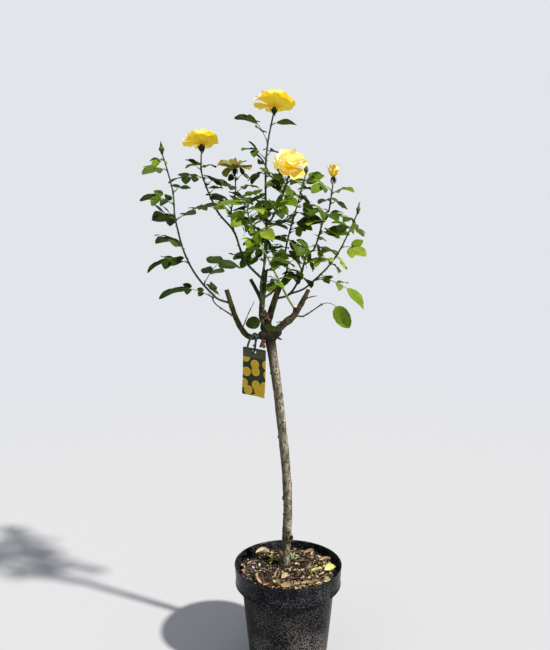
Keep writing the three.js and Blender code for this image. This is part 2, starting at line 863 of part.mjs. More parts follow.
function takeLimb(name, curve, radiusAt) {
  const beads = Math.ceil(curve.getLength() / BEAD);
  const balls = [];
  for (let i = 0; i <= beads; i += 1) {
    balls.push([curve.getPointAt(i / beads), radiusAt(i / beads)]);
  }
  takenByLimbs.set(name, [...(takenByLimbs.get(name) ?? []), ...balls]);
}

function leafPiece(name, cane, stem, row, draw) {
  const foot = stem.curve.getPointAt(row[0]);
  const light = cane.light ? vec(cane.light).normalize() : LIGHT;
  const plan = leafPlan(foot, row, draw, cane.leaves.length === 1, light);
  const stalkMarks = LEAF.stalkMarks.map((share) => plan.frameAt(share * plan.seat).at);
  if (!clearOf(stalkMarks, name)) return null;
  const allowed = (blade) => {
    const { round, upper } = bladeCorners(blade);
    return clearOf(bladeMarks(blade, round, upper), name);
  };
  const { shape, marks } = compoundLeaf(plan, allowed);
  for (const mark of marks) takenByLeaves.push({ owner: name, mark });
  return shape;
}

// Where a flower stands, its axis and the direction that its first petal is counted from
function flowerFrame(foot, facing) {
  const axis = vec(facing).normalize();
  const radial = new THREE.Vector3().crossVectors(new THREE.Vector3(1, 0, 0), axis).normalize();
  return { foot, axis, radial };
}

// A point of a petal: across from -1 to 1 over its sector and v from claw to edge. Its middle is an
// arc whose slope from the axis grows evenly from `start` to `lean`; its edge falls back to the sides.
function petalPoint(frame, petal, across, azimuth, v, inset) {
  const { start, lean, length, claw, sag, notch } = petal;
  const reach = v * (1 - notch * across * across);
  const bend = lean - start;
  const slope = start + bend * reach;
  const radius = claw + (length * (Math.cos(start) - Math.cos(slope))) / bend - inset * Math.cos(slope);
  const rise = (length * (Math.sin(slope) - Math.sin(start))) / bend - sag * length * reach * reach;
  const out = frame.radial.clone().applyAxisAngle(frame.axis, azimuth);
  return frame.foot
    .clone()
    .addScaledVector(frame.axis, rise + inset * Math.sin(slope))
    .addScaledVector(out, radius);
}

// A whorl of petals as one closed cup with a scalloped edge: its outer face up to the edge and its
// inner face back down, both closed on the flower's axis
function whorlCup(frame, petals, turn, cuts, thickness) {
  const count = petals.length;
  const around = count * cuts;
  const ringAt = (v, inset) =>
    Array.from({ length: around }, (_, k) => {
      const i = Math.floor(k / cuts);
      const share = (k % cuts) / cuts;
      const azimuth = turn + (TURN * (i + share)) / count;
      const here = petalPoint(frame, petals[i], 2 * share - 1, azimuth, v, inset);
      if (share > 0) return here;
      const before = petalPoint(frame, petals[(i + count - 1) % count], 1, azimuth, v, inset);
      return here.lerp(before, 0.5);
    });
  const outer = [0.3, 0.65, 1].map((v) => ringAt(v, 0));
  const inner = [0.65, 0.3].map((v) => ringAt(v, thickness));
  const rings = [...outer, ...inner];
  const places = rings.flat();
  const outerFoot = places.length;
  places.push(frame.foot.clone(), frame.foot.clone().addScaledVector(frame.axis, 2 * thickness));
  const faces = [];
  for (let k = 0; k < around; k += 1) {
    const next = (k + 1) % around;
    faces.push(outerFoot, next, k);
    for (let i = 0; i < rings.length - 1; i += 1) {
      const low = i * around;
      const high = low + around;
      faces.push(low + k, low + next, high + k, low + next, high + next, high + k);
    }
    const last = (rings.length - 1) * around;
    faces.push(outerFoot + 1, last + k, last + next);
  }
  return outward(indexed(places.flatMap((place) => place.toArray()), faces));
}

// The solid of a closed geometry whichever way its faces were wound
function outward(geometry) {
  const made = solid(geometry);
  if (made.volume() > 0) return made;
  const index = geometry.getIndex();
  const faces = index.array;
  for (let i = 0; i < faces.length; i += 3) {
    [faces[i + 1], faces[i + 2]] = [faces[i + 2], faces[i + 1]];
  }
  return solid(geometry);
}

// A body turned round the flower's axis from (radius, height) pairs that start and end on it
function turned(frame, profile, facets) {
  const geometry = new THREE.LatheGeometry(
    profile.map(([radius, rise]) => new THREE.Vector2(radius, rise)),
    facets,
  ).rotateX(Math.PI / 2);
  geometry.applyQuaternion(new THREE.Quaternion().setFromUnitVectors(UP, frame.axis));
  return outward(geometry.translate(...frame.foot.toArray()));
}

// The cups of a flower's whorls, each turned by half a petal from the one inside it
function whorls({ kind, width, height }, frame, draw) {
  const style = FLOWERS[kind];
  return style.whorls.map(({ count, start, lean, reach }, i) => {
    const petals = Array.from({ length: count }, () => ({
      start,
      lean: lean + draw(-PETAL.play, PETAL.play) * style.looseness,
      length: reach * (style.upright ? height : width) * draw(0.94, 1.04),
      claw: width * style.heart * 0.35,
      sag: style.sag * draw(0.2, 1.6),
      notch: PETAL.notch,
    }));
    return whorlCup(frame, petals, (i * Math.PI) / count, PETAL.cuts, PETAL.thickness);
  });
}

// Sepals: folded back in one five-pointed star under an opened flower, or apart up a bud's sides
function sepals(kind, frame, draw) {
  const { hip, sepal, sepalCount } = FLOWERS[kind];
  if (kind !== "bud") {
    const star = Array.from({ length: sepalCount }, () => ({
      start: 1.3,
      lean: draw(1.9, 2.4),
      length: sepal * draw(0.85, 1.1),
      claw: hip * 0.5,
      sag: 0,
      notch: SEPAL.notch,
    }));
    return [whorlCup(frame, star, draw(0, 1), SEPAL.cuts, SEPAL.thickness)];
  }
  return Array.from({ length: sepalCount }, (_, i) => {
    const azimuth = (TURN * i) / sepalCount + draw(-0.2, 0.2);
    const out = frame.radial.clone().applyAxisAngle(frame.axis, azimuth);
    const climb = SEPAL.climb + draw(-0.15, 0.15);
    const along = out.clone().multiplyScalar(Math.cos(climb)).addScaledVector(frame.axis, Math.sin(climb));
    const face = frame.axis.clone().multiplyScalar(Math.cos(climb)).addScaledVector(out, -Math.sin(climb));
    const foot = frame.foot.clone().addScaledVector(out, hip * 0.4);
    return sepalBlade({ foot, along, face, length: sepal, aspect: 0.25, bow: 0.1, lift: 0 });
  });
}

function flowerPieces(tipPoint, flower, draw) {
  const { kind, width, height, facing } = flower;
  const { hip, heart: heartShare, heartRise } = FLOWERS[kind];
  const frame = flowerFrame(tipPoint.clone(), facing);
  const heart = width * heartShare;
  const throat = hip * 1.5;
  const body = [
    [0, -hip],
    [hip * 0.9, -hip * 0.2],
    [hip, hip * 0.8],
    [hip * 0.75, throat],
    [heart, throat + height * 0.3],
    [heart * 0.85, throat + height * 0.6],
    [heart * 0.3, throat + height * heartRise],
    [0, throat + height * heartRise + 0.5],
  ];
  const pieces = [turned(frame, body, 7)];
  frame.foot.addScaledVector(frame.axis, throat);
  pieces.push(...whorls(flower, frame, draw), ...sepals(kind, frame, draw));
  return pieces;
}

function nearestOn(curve, point) {
  const marks = Array.from({ length: 121 }, (_, i) => curve.getPointAt(i / 120));
  return marks.reduce((best, mark) => (mark.distanceTo(point) < best.distanceTo(point) ? mark : best));
}

// The card of the hanging label: a thin sheet that curls forward at its foot, with a slot at the top
function labelCard() {
  const { width, length, thickness, columns, rows, curl, slotDrop } = LABEL;
  const card = new THREE.BoxGeometry(width, thickness, length, columns, 1, rows);
  const places = card.getAttribute("position");
  for (let i = 0; i < places.count; i += 1) {
    const drop = 0.5 - places.getZ(i) / length;
    const across = places.getX(i) / width;
    places.setY(i, places.getY(i) - curl * (drop * drop + 1.6 * across * across * drop));
  }
  card.translate(0, 0, slotDrop - length / 2);
  const slot = new THREE.BoxGeometry(LABEL.slotWidth, 30, LABEL.slotHeight);
  return solid(card).subtract(solid(slot));
}

// The strap: a belt round the bough and through the card's slot
function strap() {
  const { boughRadius, slotRadius: lower, width, thickness, hang, facets } = STRAP;
  const upper = boughRadius + CLEARANCE + thickness;
  const tilt = Math.asin((upper - lower) / hang);
  const ring = [];
  const half = facets / 2;
  for (let i = 0; i <= half; i += 1) {
    const angle = -tilt + ((Math.PI + 2 * tilt) * i) / half;
    ring.push([Math.cos(angle), Math.sin(angle), upper, 0]);
  }
  for (let i = 0; i <= half; i += 1) {
    const angle = Math.PI + tilt + ((Math.PI - 2 * tilt) * i) / half;
    ring.push([Math.cos(angle), Math.sin(angle), lower, -hang]);
  }
  const places = [];
  const faces = [];
  for (const [out, rise, radius, drop] of ring) {
    for (const [side, inset] of [[-1, 0], [1, 0], [1, thickness], [-1, thickness]]) {
      places.push((side * width) / 2, out * (radius - inset), drop + rise * (radius - inset));
    }
  }
  for (let i = 0; i < ring.length; i += 1) {
    const here = 4 * i;
    const next = 4 * ((i + 1) % ring.length);
    for (let j = 0; j < 4; j += 1) {
      const k = (j + 1) % 4;
      faces.push(here + j, here + k, next + j, here + k, next + k, next + j);
    }
  }
  return outward(indexed(places, faces));
}

// Finishes
const finish = (color, roughness) => new THREE.MeshStandardMaterial({ color, roughness, metalness: 0 });
const BLACK_PLASTIC = finish(0x1c1c1e, 0.5);
const PEAT = finish(0x3a2c22, 0.95);
const BARK = finish(0x8c8272, 0.85);
const OLD_WOOD = finish(0x4b4a2c, 0.7);
const GREEN_GROWTH = finish(0x3f6b2a, 0.45);
const CARD = finish(0x2c3322, 0.4);
const STRAP_GREEN = finish(0x2f7d4a, 0.45);

const rose = new THREE.Group();
rose.add(meshOf("pot", pot(), BLACK_PLASTIC));
rose.add(meshOf("soil", soil(), PEAT));

const stemFoot = new THREE.Vector3(TRUNK.course[0][0], TRUNK.course[0][1], SOIL.top + CLEARANCE);
rose.add(meshOf("trunk", trunk(), BARK, stemFoot));
const trunkCurve = smooth(TRUNK.course.map(vec));
takeLimb("trunk", trunkCurve, trunkRadius);
for (const [centre, radius] of KNOBS) takenByLimbs.get("trunk").push([vec(centre), radius]);

const headCut = trunkPieces(CLEARANCE);
const carriers = { trunk: { curve: trunkCurve, cut: headCut } };
const boughCuts = [headCut];
for (const [name, bough] of Object.entries(BOUGHS)) {
  const limbs = boughLimbs(bough);
  const shape = wholeOf(fused(limbs.map((part) => part.made())).subtract(fused(boughCuts)));
  rose.add(meshOf(name, shape, OLD_WOOD, vec(bough.course[1])));
  for (const part of limbs) takeLimb(name, part.curve, part.radiusAt);
  const cut = fused(limbs.map((part) => part.made(CLEARANCE)));
  boughCuts.push(cut);
  carriers[name] = { curve: limbs[0].curve, cut };
}

// The canes' stems first, so that every leaf knows where they run
const stems = {};
for (const [name, cane] of Object.entries(CANES)) {
  const carrier = carriers[cane.on];
  const start = nearestOn(carrier.curve, vec(cane.course[0]));
  const rings = Math.max(4, CANE_MESH.ringsPerPoint * cane.course.length);
  const points = [start.toArray(), ...cane.course.slice(1)];
  const stem = limb(points, cane.foot, cane.tip, CANE_MESH.sides, rings);
  stems[name] = stem;
  carriers[name] = { curve: stem.curve, cut: stem.made(CLEARANCE) };
  takeLimb(name, stem.curve, stem.radiusAt);
}

for (const [name, cane] of Object.entries(CANES)) {
  const stem = stems[name];
  const draw = drawing(cane.seed);
  const pieces = [stem.made()];
  for (const row of cane.leaves) {
    const leaf = leafPiece(name, cane, stem, row, draw);
    if (leaf) pieces.push(leaf);
  }
  if (cane.flower) pieces.push(...flowerPieces(stem.curve.getPointAt(1), cane.flower, draw));
  const mass = wholeOf(fused(pieces).subtract(carriers[cane.on].cut).simplify(SLIVER));
  rose.add(meshOf(name, mass, GREEN_GROWTH, stem.curve.getPointAt(0)));
}

const hook = new THREE.Group();
hook.position.set(...STRAP.bough);
hook.add(meshOf("label_strap", strap(), STRAP_GREEN));
const card = meshOf("label_card", labelCard(), CARD);
card.position.set(0, 0, -STRAP.hang - CLEARANCE);
card.rotation.set(LABEL.lean, LABEL.tilt, LABEL.turn, "YZX");
hook.add(card);
rose.add(hook);

export default rose;
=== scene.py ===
import math
import bpy
import numpy as np
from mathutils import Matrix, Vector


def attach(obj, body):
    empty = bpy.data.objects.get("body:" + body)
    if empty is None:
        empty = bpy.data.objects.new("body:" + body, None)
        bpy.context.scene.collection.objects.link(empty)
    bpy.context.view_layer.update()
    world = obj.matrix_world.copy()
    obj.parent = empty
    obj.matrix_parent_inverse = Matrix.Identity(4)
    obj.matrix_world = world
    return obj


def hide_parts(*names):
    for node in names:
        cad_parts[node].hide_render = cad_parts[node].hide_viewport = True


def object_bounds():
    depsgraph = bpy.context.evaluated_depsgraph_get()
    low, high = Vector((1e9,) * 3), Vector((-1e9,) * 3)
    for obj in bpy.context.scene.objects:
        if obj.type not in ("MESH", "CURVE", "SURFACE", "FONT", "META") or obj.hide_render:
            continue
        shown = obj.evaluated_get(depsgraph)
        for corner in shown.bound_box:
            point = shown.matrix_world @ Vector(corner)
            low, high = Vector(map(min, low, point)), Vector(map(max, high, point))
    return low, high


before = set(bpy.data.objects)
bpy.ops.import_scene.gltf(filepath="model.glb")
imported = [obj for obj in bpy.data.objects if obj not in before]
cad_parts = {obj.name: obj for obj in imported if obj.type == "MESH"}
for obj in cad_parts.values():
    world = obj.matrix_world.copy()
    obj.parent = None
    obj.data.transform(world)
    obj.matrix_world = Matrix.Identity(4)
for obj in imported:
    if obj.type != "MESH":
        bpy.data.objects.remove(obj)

# A standard rose in a nursery pot. Shapes are worked out in millimetres and set down in metres.
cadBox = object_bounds()
upward = np.array([0.0, 0.0, 1.0])
clearance = 0.3  # the same gap that the solids keep


# Camera, floor and light

photoView = {"place": (-0.028, -1.170, 0.750), "pitch": 1.8, "lens": 30.46, "sensor": 36, "farthest": 50}
studio = {
    "floorColour": (0.60, 0.60, 0.62), "floorRings": (20, 900, 1800, 3000, 4600), "floorSides": 64, "floorDrop": -0.2,
    "fadeFrom": 1.6, "fadeTo": 4.2,  # the floor thins out into the backdrop
    "backdropColour": (0.76, 0.785, 0.82), "skyColour": (0.86, 0.92, 1.0), "skyStrength": 0.37,
    "sunStrength": 4.6, "sunAngle": 3, "sunColour": (1, 0.97, 0.92),
    "sunTurn": (46, 0, 60),  # from the right, high and a little in front
    "fillStrength": 3, "fillSize": 1.6, "fillPlace": (-1.6, -1.4, 1.5), "fillTurn": (65, 0, -48),
}


def standing(name, data):
    # an object with this data, linked into the scene
    made = bpy.data.objects.new(name, data)
    bpy.context.scene.collection.objects.link(made)
    return made


def placeCamera(view):
    camera = bpy.data.cameras.new("photoCamera")
    camera.lens, camera.sensor_width, camera.clip_end = view["lens"], view["sensor"], view["farthest"]
    holder = standing("photoCamera", camera)
    holder.location = view["place"]
    holder.rotation_euler = (math.radians(90 - view["pitch"]), 0, 0)
    bpy.context.scene.camera = holder


placeCamera(photoView)


# Arrays and noise

def unit(v):
    # each vector over its own length
    return v / np.maximum(np.linalg.norm(v, axis=-1, keepdims=True), 1e-12)


def around(count):
    # equal steps round a circle
    return np.linspace(0, 2 * math.pi, count, endpoint=False)


def ease(low, high, x):
    # 3t2 - 2t3 between low and high
    t = np.clip((x - low) / (high - low), 0, 1)
    return t * t * (3 - 2 * t)


def spin(v, axis, angle):
    # a turn about a unit axis: v cos a + (axis x v) sin a + axis (axis . v)(1 - cos a)
    angle = np.asarray(angle)[..., None]
    dot = np.sum(axis * v, axis=-1, keepdims=True)
    return v * np.cos(angle) + np.cross(axis, v) * np.sin(angle) + axis * dot * (1 - np.cos(angle))


latticeValues = np.random.default_rng(7).random(4096)
latticeKeys = (73856093, 19349663, 83492791)


def noiseAt(points, size, seed=0):
    # value noise: a number at each corner of a lattice of this size, eased between corners, -1 to 1
    q = points / np.asarray(size) + 31.7 * seed
    cell = np.floor(q).astype(np.int64)
    f = q - cell
    f = f * f * (3 - 2 * f)
    total = 0
    for corner in np.ndindex(2, 2, 2):
        x, y, z = np.moveaxis((cell + np.array(corner)) * latticeKeys, -1, 0)
        share = np.prod(np.where(np.array(corner) == 1, f, 1 - f), axis=-1)
        total = total + latticeValues[(x ^ y ^ z) & (len(latticeValues) - 1)] * share
    return 2 * total - 1


def drawing(seed):
    # one repeatable run of numbers between low and high, the same as the solids' own
    times, plus, wrap = 1664525, 1013904223, 2**32
    state = [(seed * times + plus) % wrap]

    def draw(low, high):
        state[0] = (state[0] * times + plus) % wrap
        return low + (high - low) * state[0] / wrap

    return draw


fineSteps = np.linspace(0, 1, 201)


def curveAt(points, shares):
    # Catmull-Rom through the points with straight run-outs, read at shares of its length
    p = np.asarray(points, float)
    p = np.vstack([2 * p[0] - p[1], p, 2 * p[-1] - p[-2]])

    def read(t):
        s = np.clip(np.asarray(t, float) * (len(p) - 3), 0, len(p) - 3 - 1e-9)
        i = s.astype(int)
        w = (s - i)[:, None]
        a, b, c, d = p[i], p[i + 1], p[i + 2], p[i + 3]
        inward, onward = (c - a) / 2, (d - b) / 2
        bend = 3 * (c - b) - 2 * inward - onward
        return b + inward * w + bend * w**2 + (2 * (b - c) + inward + onward) * w**3

    steps = np.linalg.norm(np.diff(read(fineSteps), axis=0), axis=1)
    run = np.concatenate([[0], np.cumsum(steps)])
    return read(np.interp(np.asarray(shares, float) * run[-1], run, fineSteps))


def lengthOf(points):
    # the sum of the steps between fine points of the curve
    return float(np.linalg.norm(np.diff(curveAt(points, fineSteps), axis=0), axis=1).sum())


# Heaps of faces that become pieces

def emptyHeap():
    return {"points": [], "quads": [], "quadTones": [], "tris": [], "triTones": [], "size": 0}


def pour(heap, points, quads=None, tris=None, tone=0):
    # adds a grid's points and faces; tone picks the material, one for all or one for each face
    points = np.asarray(points, float).reshape(-1, 3)
    for kind, corners, faces in (("quad", 4, quads), ("tri", 3, tris)):
        if faces is not None:
            faces = np.asarray(faces).reshape(-1, corners) + heap["size"]
            heap[kind + "s"].append(faces)
            heap[kind + "Tones"].append(np.broadcast_to(tone, (len(faces),)))
    heap["points"].append(points)
    heap["size"] += len(points)


def gridQuads(rows, columns, wrap=False, flip=False):
    # quads between neighbouring rows and columns of a grid numbered row by row
    r = np.arange(rows - 1)[:, None]
    c = np.arange(columns if wrap else columns - 1)[None, :]
    n = (c + 1) % columns
    quads = np.stack([r * columns + c, r * columns + n, (r + 1) * columns + n, (r + 1) * columns + c], -1)
    return (quads[..., ::-1] if flip else quads).reshape(-1, 4)


def copies(faces, points, count):
    # the same faces again for each copy of a shape with this number of points
    return faces[None] + points * np.arange(count)[:, None, None]


def fan(middle, rim, flip=False):
    # triangles from a middle point to each edge of a closed rim
    after = np.roll(rim, -1)
    return np.stack([np.full(len(rim), middle), *((after, rim) if flip else (rim, after))], -1)


def meshFrom(name, heap, sharp=None):
    mesh = bpy.data.meshes.new(name)
    faces = [face for part in heap["quads"] + heap["tris"] for face in part.tolist()]
    mesh.from_pydata(np.concatenate(heap["points"]) * 0.001, [], faces)
    tones = np.concatenate(heap["quadTones"] + heap["triTones"]).astype(np.int32)
    mesh.polygons.foreach_set("material_index", tones)
    mesh.polygons.foreach_set("use_smooth", np.full(len(tones), True))
    if sharp:
        mesh.set_sharp_from_angle(angle=math.radians(sharp))
    mesh.update()
    return mesh


def readOut(items, field):
    # one vector for each vertex or face, as rows of an array
    values = np.zeros(len(items) * 3)
    items.foreach_get(field, values)
    return values.reshape(-1, 3)


def setDown(name, mesh, materials, replaced=()):
    piece = standing(name, mesh)
    for material in materials:
        mesh.materials.append(material)
    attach(piece, "root")
    if replaced:
        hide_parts(*replaced)
    print(f"{name}: {sum(len(p.vertices) - 2 for p in mesh.polygons)} triangles")


def finishedMesh(name, mesh, addModifiers):
    # the mesh that a throwaway object shows once its modifiers have run
    holder = standing(name, mesh)
    addModifiers(holder)
    shown = holder.evaluated_get(bpy.context.evaluated_depsgraph_get())
    made = bpy.data.meshes.new_from_object(shown)
    bpy.data.objects.remove(holder)
    return made


def cutOut(name, mesh, cutter):
    # the mesh less the cutter's closed shapes
    tool = standing(name + "Cutter", cutter)

    def addModifiers(holder):
        cut = holder.modifiers.new("cut", "BOOLEAN")
        cut.operation, cut.solver, cut.object = "DIFFERENCE", "EXACT", tool

    made = finishedMesh(name, mesh, addModifiers)
    bpy.data.objects.remove(tool)
    return made


def carriedSides(path):
    # two cross directions, carried along a path without twist
    tangents = unit(np.gradient(path, axis=0))
    across = [unit(np.cross(tangents[0], (0.31, -0.9, 0.29)))]  # square to the start, and a little aslant
    for tangent in tangents[1:]:
        across.append(unit(across[-1] - tangent * np.dot(across[-1], tangent)))
    return np.array(across), np.cross(tangents, across)


def sweep(heap, path, radii, sides, tone=0):
    # a closed tube: each ring is the path's point plus its radius times (cos a N + sin a B)
    across, beside = carriedSides(path)
    angle = around(sides)
    radii = np.asarray(radii, float)
    if radii.ndim == 1:
        radii = np.repeat(radii[:, None], sides, axis=1)
    spokes = np.cos(angle)[:, None] * across[:, None] + np.sin(angle)[:, None] * beside[:, None]
    rings = (path[:, None] + radii[..., None] * spokes).reshape(-1, 3)
    count, rim = len(rings), np.arange(sides)
    ends = np.concatenate([fan(count, rim, flip=True), fan(count + 1, rim + count - sides)])
    pour(heap, np.concatenate([rings, path[:1], path[-1:]]), gridQuads(len(path), sides, wrap=True), ends, tone)


def lathe(heap, profile, sides, foot=(0, 0, 0), axis=(0, 0, 1), tone=0, wobble=None):
    # a profile of (radius, height) turned round an axis, closed by its first and last point
    profile = np.asarray(profile, float)
    axis = unit(np.asarray(axis, float))
    out = unit(np.cross(axis, (0.0, 1.0, 0.0)) + 1e-9)
    angle = around(sides)
    spokes = np.cos(angle)[:, None] * out + np.sin(angle)[:, None] * np.cross(axis, out)
    radius = np.maximum(profile[:, 0], 0)[:, None, None]
    points = np.asarray(foot) + radius * spokes[None] + profile[:, 1][:, None, None] * axis
    if wobble is not None:
        points = wobble(points)
    rings = points[1:-1].reshape(-1, 3)
    count, rim = len(rings), np.arange(sides)
    ends = np.concatenate([fan(count, rim, flip=True), fan(count + 1, rim + count - sides)])
    points = np.concatenate([rings, points[0, :1], points[-1, :1]])
    pour(heap, points, gridQuads(len(profile) - 2, sides, wrap=True), ends, tone)


def ball(heap, spot, size, rows=8, sides=10, tall=1):
    # a half circle of radius and height turned about the upright, at will taller or flatter than round
    turn = np.linspace(0, math.pi, rows)
    lathe(heap, np.stack([size * np.sin(turn), -tall * size * np.cos(turn)], -1), sides, foot=spot)


lumpFaces = np.array([
    (0, 1, 2), (0, 2, 3), (0, 3, 4), (0, 4, 5), (0, 5, 1),
    (1, 6, 2), (2, 7, 3), (3, 8, 4), (4, 9, 5), (5, 10, 1),
    (2, 6, 7), (3, 7, 8), (4, 8, 9), (5, 9, 10), (1, 10, 6),
    (11, 7, 6), (11, 8, 7), (11, 9, 8), (11, 10, 9), (11, 6, 10),
])


def lumps(heap, centres, sizes, rng, tones):
    # twelve-cornered crumbs: corners of an icosahedron, each pushed in or out and squeezed a little
    ring = np.arange(5) * 2 * math.pi / 5
    wide, tall, turn = 0.894, 0.447, 0.628  # two rings of five corners, half a step apart
    high, low = (
        np.stack([wide * np.cos(angle), wide * np.sin(angle), np.full(5, height)], -1)
        for angle, height in ((ring, tall), (ring + turn, -tall))
    )
    corners = np.concatenate([[[0, 0, 1]], high, low, [[0, 0, -1]]])
    n = len(centres)
    squeeze = rng.uniform(0.6, 1.25, (n, 1, 3))
    shapes = corners[None] * rng.uniform(0.75, 1.2, (n, 12, 1)) * squeeze * np.asarray(sizes)[:, None, None]
    turned = spin(shapes, unit(rng.normal(size=(n, 1, 3))), rng.uniform(0, 6.28, (n, 1)))
    tones = np.repeat(np.broadcast_to(tones, (n,)), len(lumpFaces))
    pour(heap, turned + np.asarray(centres)[:, None], tris=copies(lumpFaces, 12, n), tone=tones)


def thorns(heap, bases, aims, hooks, lengths, radii, tone=0, sides=5):
    # curved cones: base + aim * length * t + hook * length * t2, thinning to a point
    t = np.array([0, 0.35, 0.7, 1.0])
    side = unit(np.cross(aims, (0.13, 0.21, 0.97)))
    other = np.cross(aims, side)
    angle = around(sides)
    core = bases[:, None] + (aims[:, None] * t[:, None] + hooks[:, None] * t[:, None] ** 2) * lengths[:, None, None]
    girth = (radii[:, None] * (1 - t) ** 1.2 + 0.04)[..., None, None]
    spokes = side[:, None, None] * np.cos(angle)[:, None] + other[:, None, None] * np.sin(angle)[:, None]
    quads = copies(gridQuads(len(t), sides, wrap=True), len(t) * sides, len(bases))
    pour(heap, core[:, :, None] + girth * spokes, quads, tone=tone)


# The plant's sizes, as in its solids

trunkSizes = {
    "course": [
        (-7, 25, 176), (-4, 22, 230), (0, 18, 300), (-3, 13, 385), (-14, 9, 500),
        (-26, 7, 600), (-39, 5, 685), (-44, 4, 704),
    ],
    "radius": 9.8, "headRadius": 10.8, "flareRadius": 13.4, "flareHeight": 46, "ripple": 0.35, "ripples": 6.5,
}
knobs = [
    ((-37, 4, 690), 15), ((-54, 2, 691), 10.5), ((-47, 5, 709), 13), ((-25, -1, 699), 12), ((1, 17, 250), 9.8),
    ((-13, 21, 213), 8.2),
]
boughs = {
    "bough_left": {
        "foot": 6.2, "tip": 4.9, "tone": 0,
        "course": [(-50, 2, 691), (-80, -2, 688), (-97, -4, 702), (-113, -6, 734), (-130, -10, 788)],
        "spurs": [(1.4, 0.9, [(-98, -4, 704), (-84, -7, 738), (-72, -9, 763)])],
    },
    "bough_centre": {
        "foot": 6.3, "tip": 5.2, "tone": 1,
        "course": [(-47, 2, 709), (-56, -3, 731), (-54, -5, 772), (-48, -5, 830)],
        "spurs": [(4.3, 3.9, [(-55, -4, 758), (-62, 0, 777), (-80, 5, 811)])],
    },
    "bough_middle": {
        "foot": 7.2, "tip": 6.2, "tone": 2,
        "course": [(-42, 10, 706), (-42, 16, 722), (-32, 19, 756), (-17, 25, 802)],
        "spurs": [],
    },
    "bough_right": {
        "foot": 8.6, "tip": 4.3, "tone": 3,
        "course": [(-30, -1, 696), (-22, -5, 704), (-5, -10, 719), (13, -14, 735), (33, -18, 769), (42, -20, 788)],
        "spurs": [
            (5.2, 4.4, [(12, -13, 733), (14, -20, 744), (14, -25, 753)]),
            (1.7, 0.9, [(31, -17, 765), (45, -18, 772), (60, -20, 775)]),
            (1.6, 1.1, [(4, -12, 727), (-11, -12, 722), (-25, -11, 719)]),
        ],
    },
}

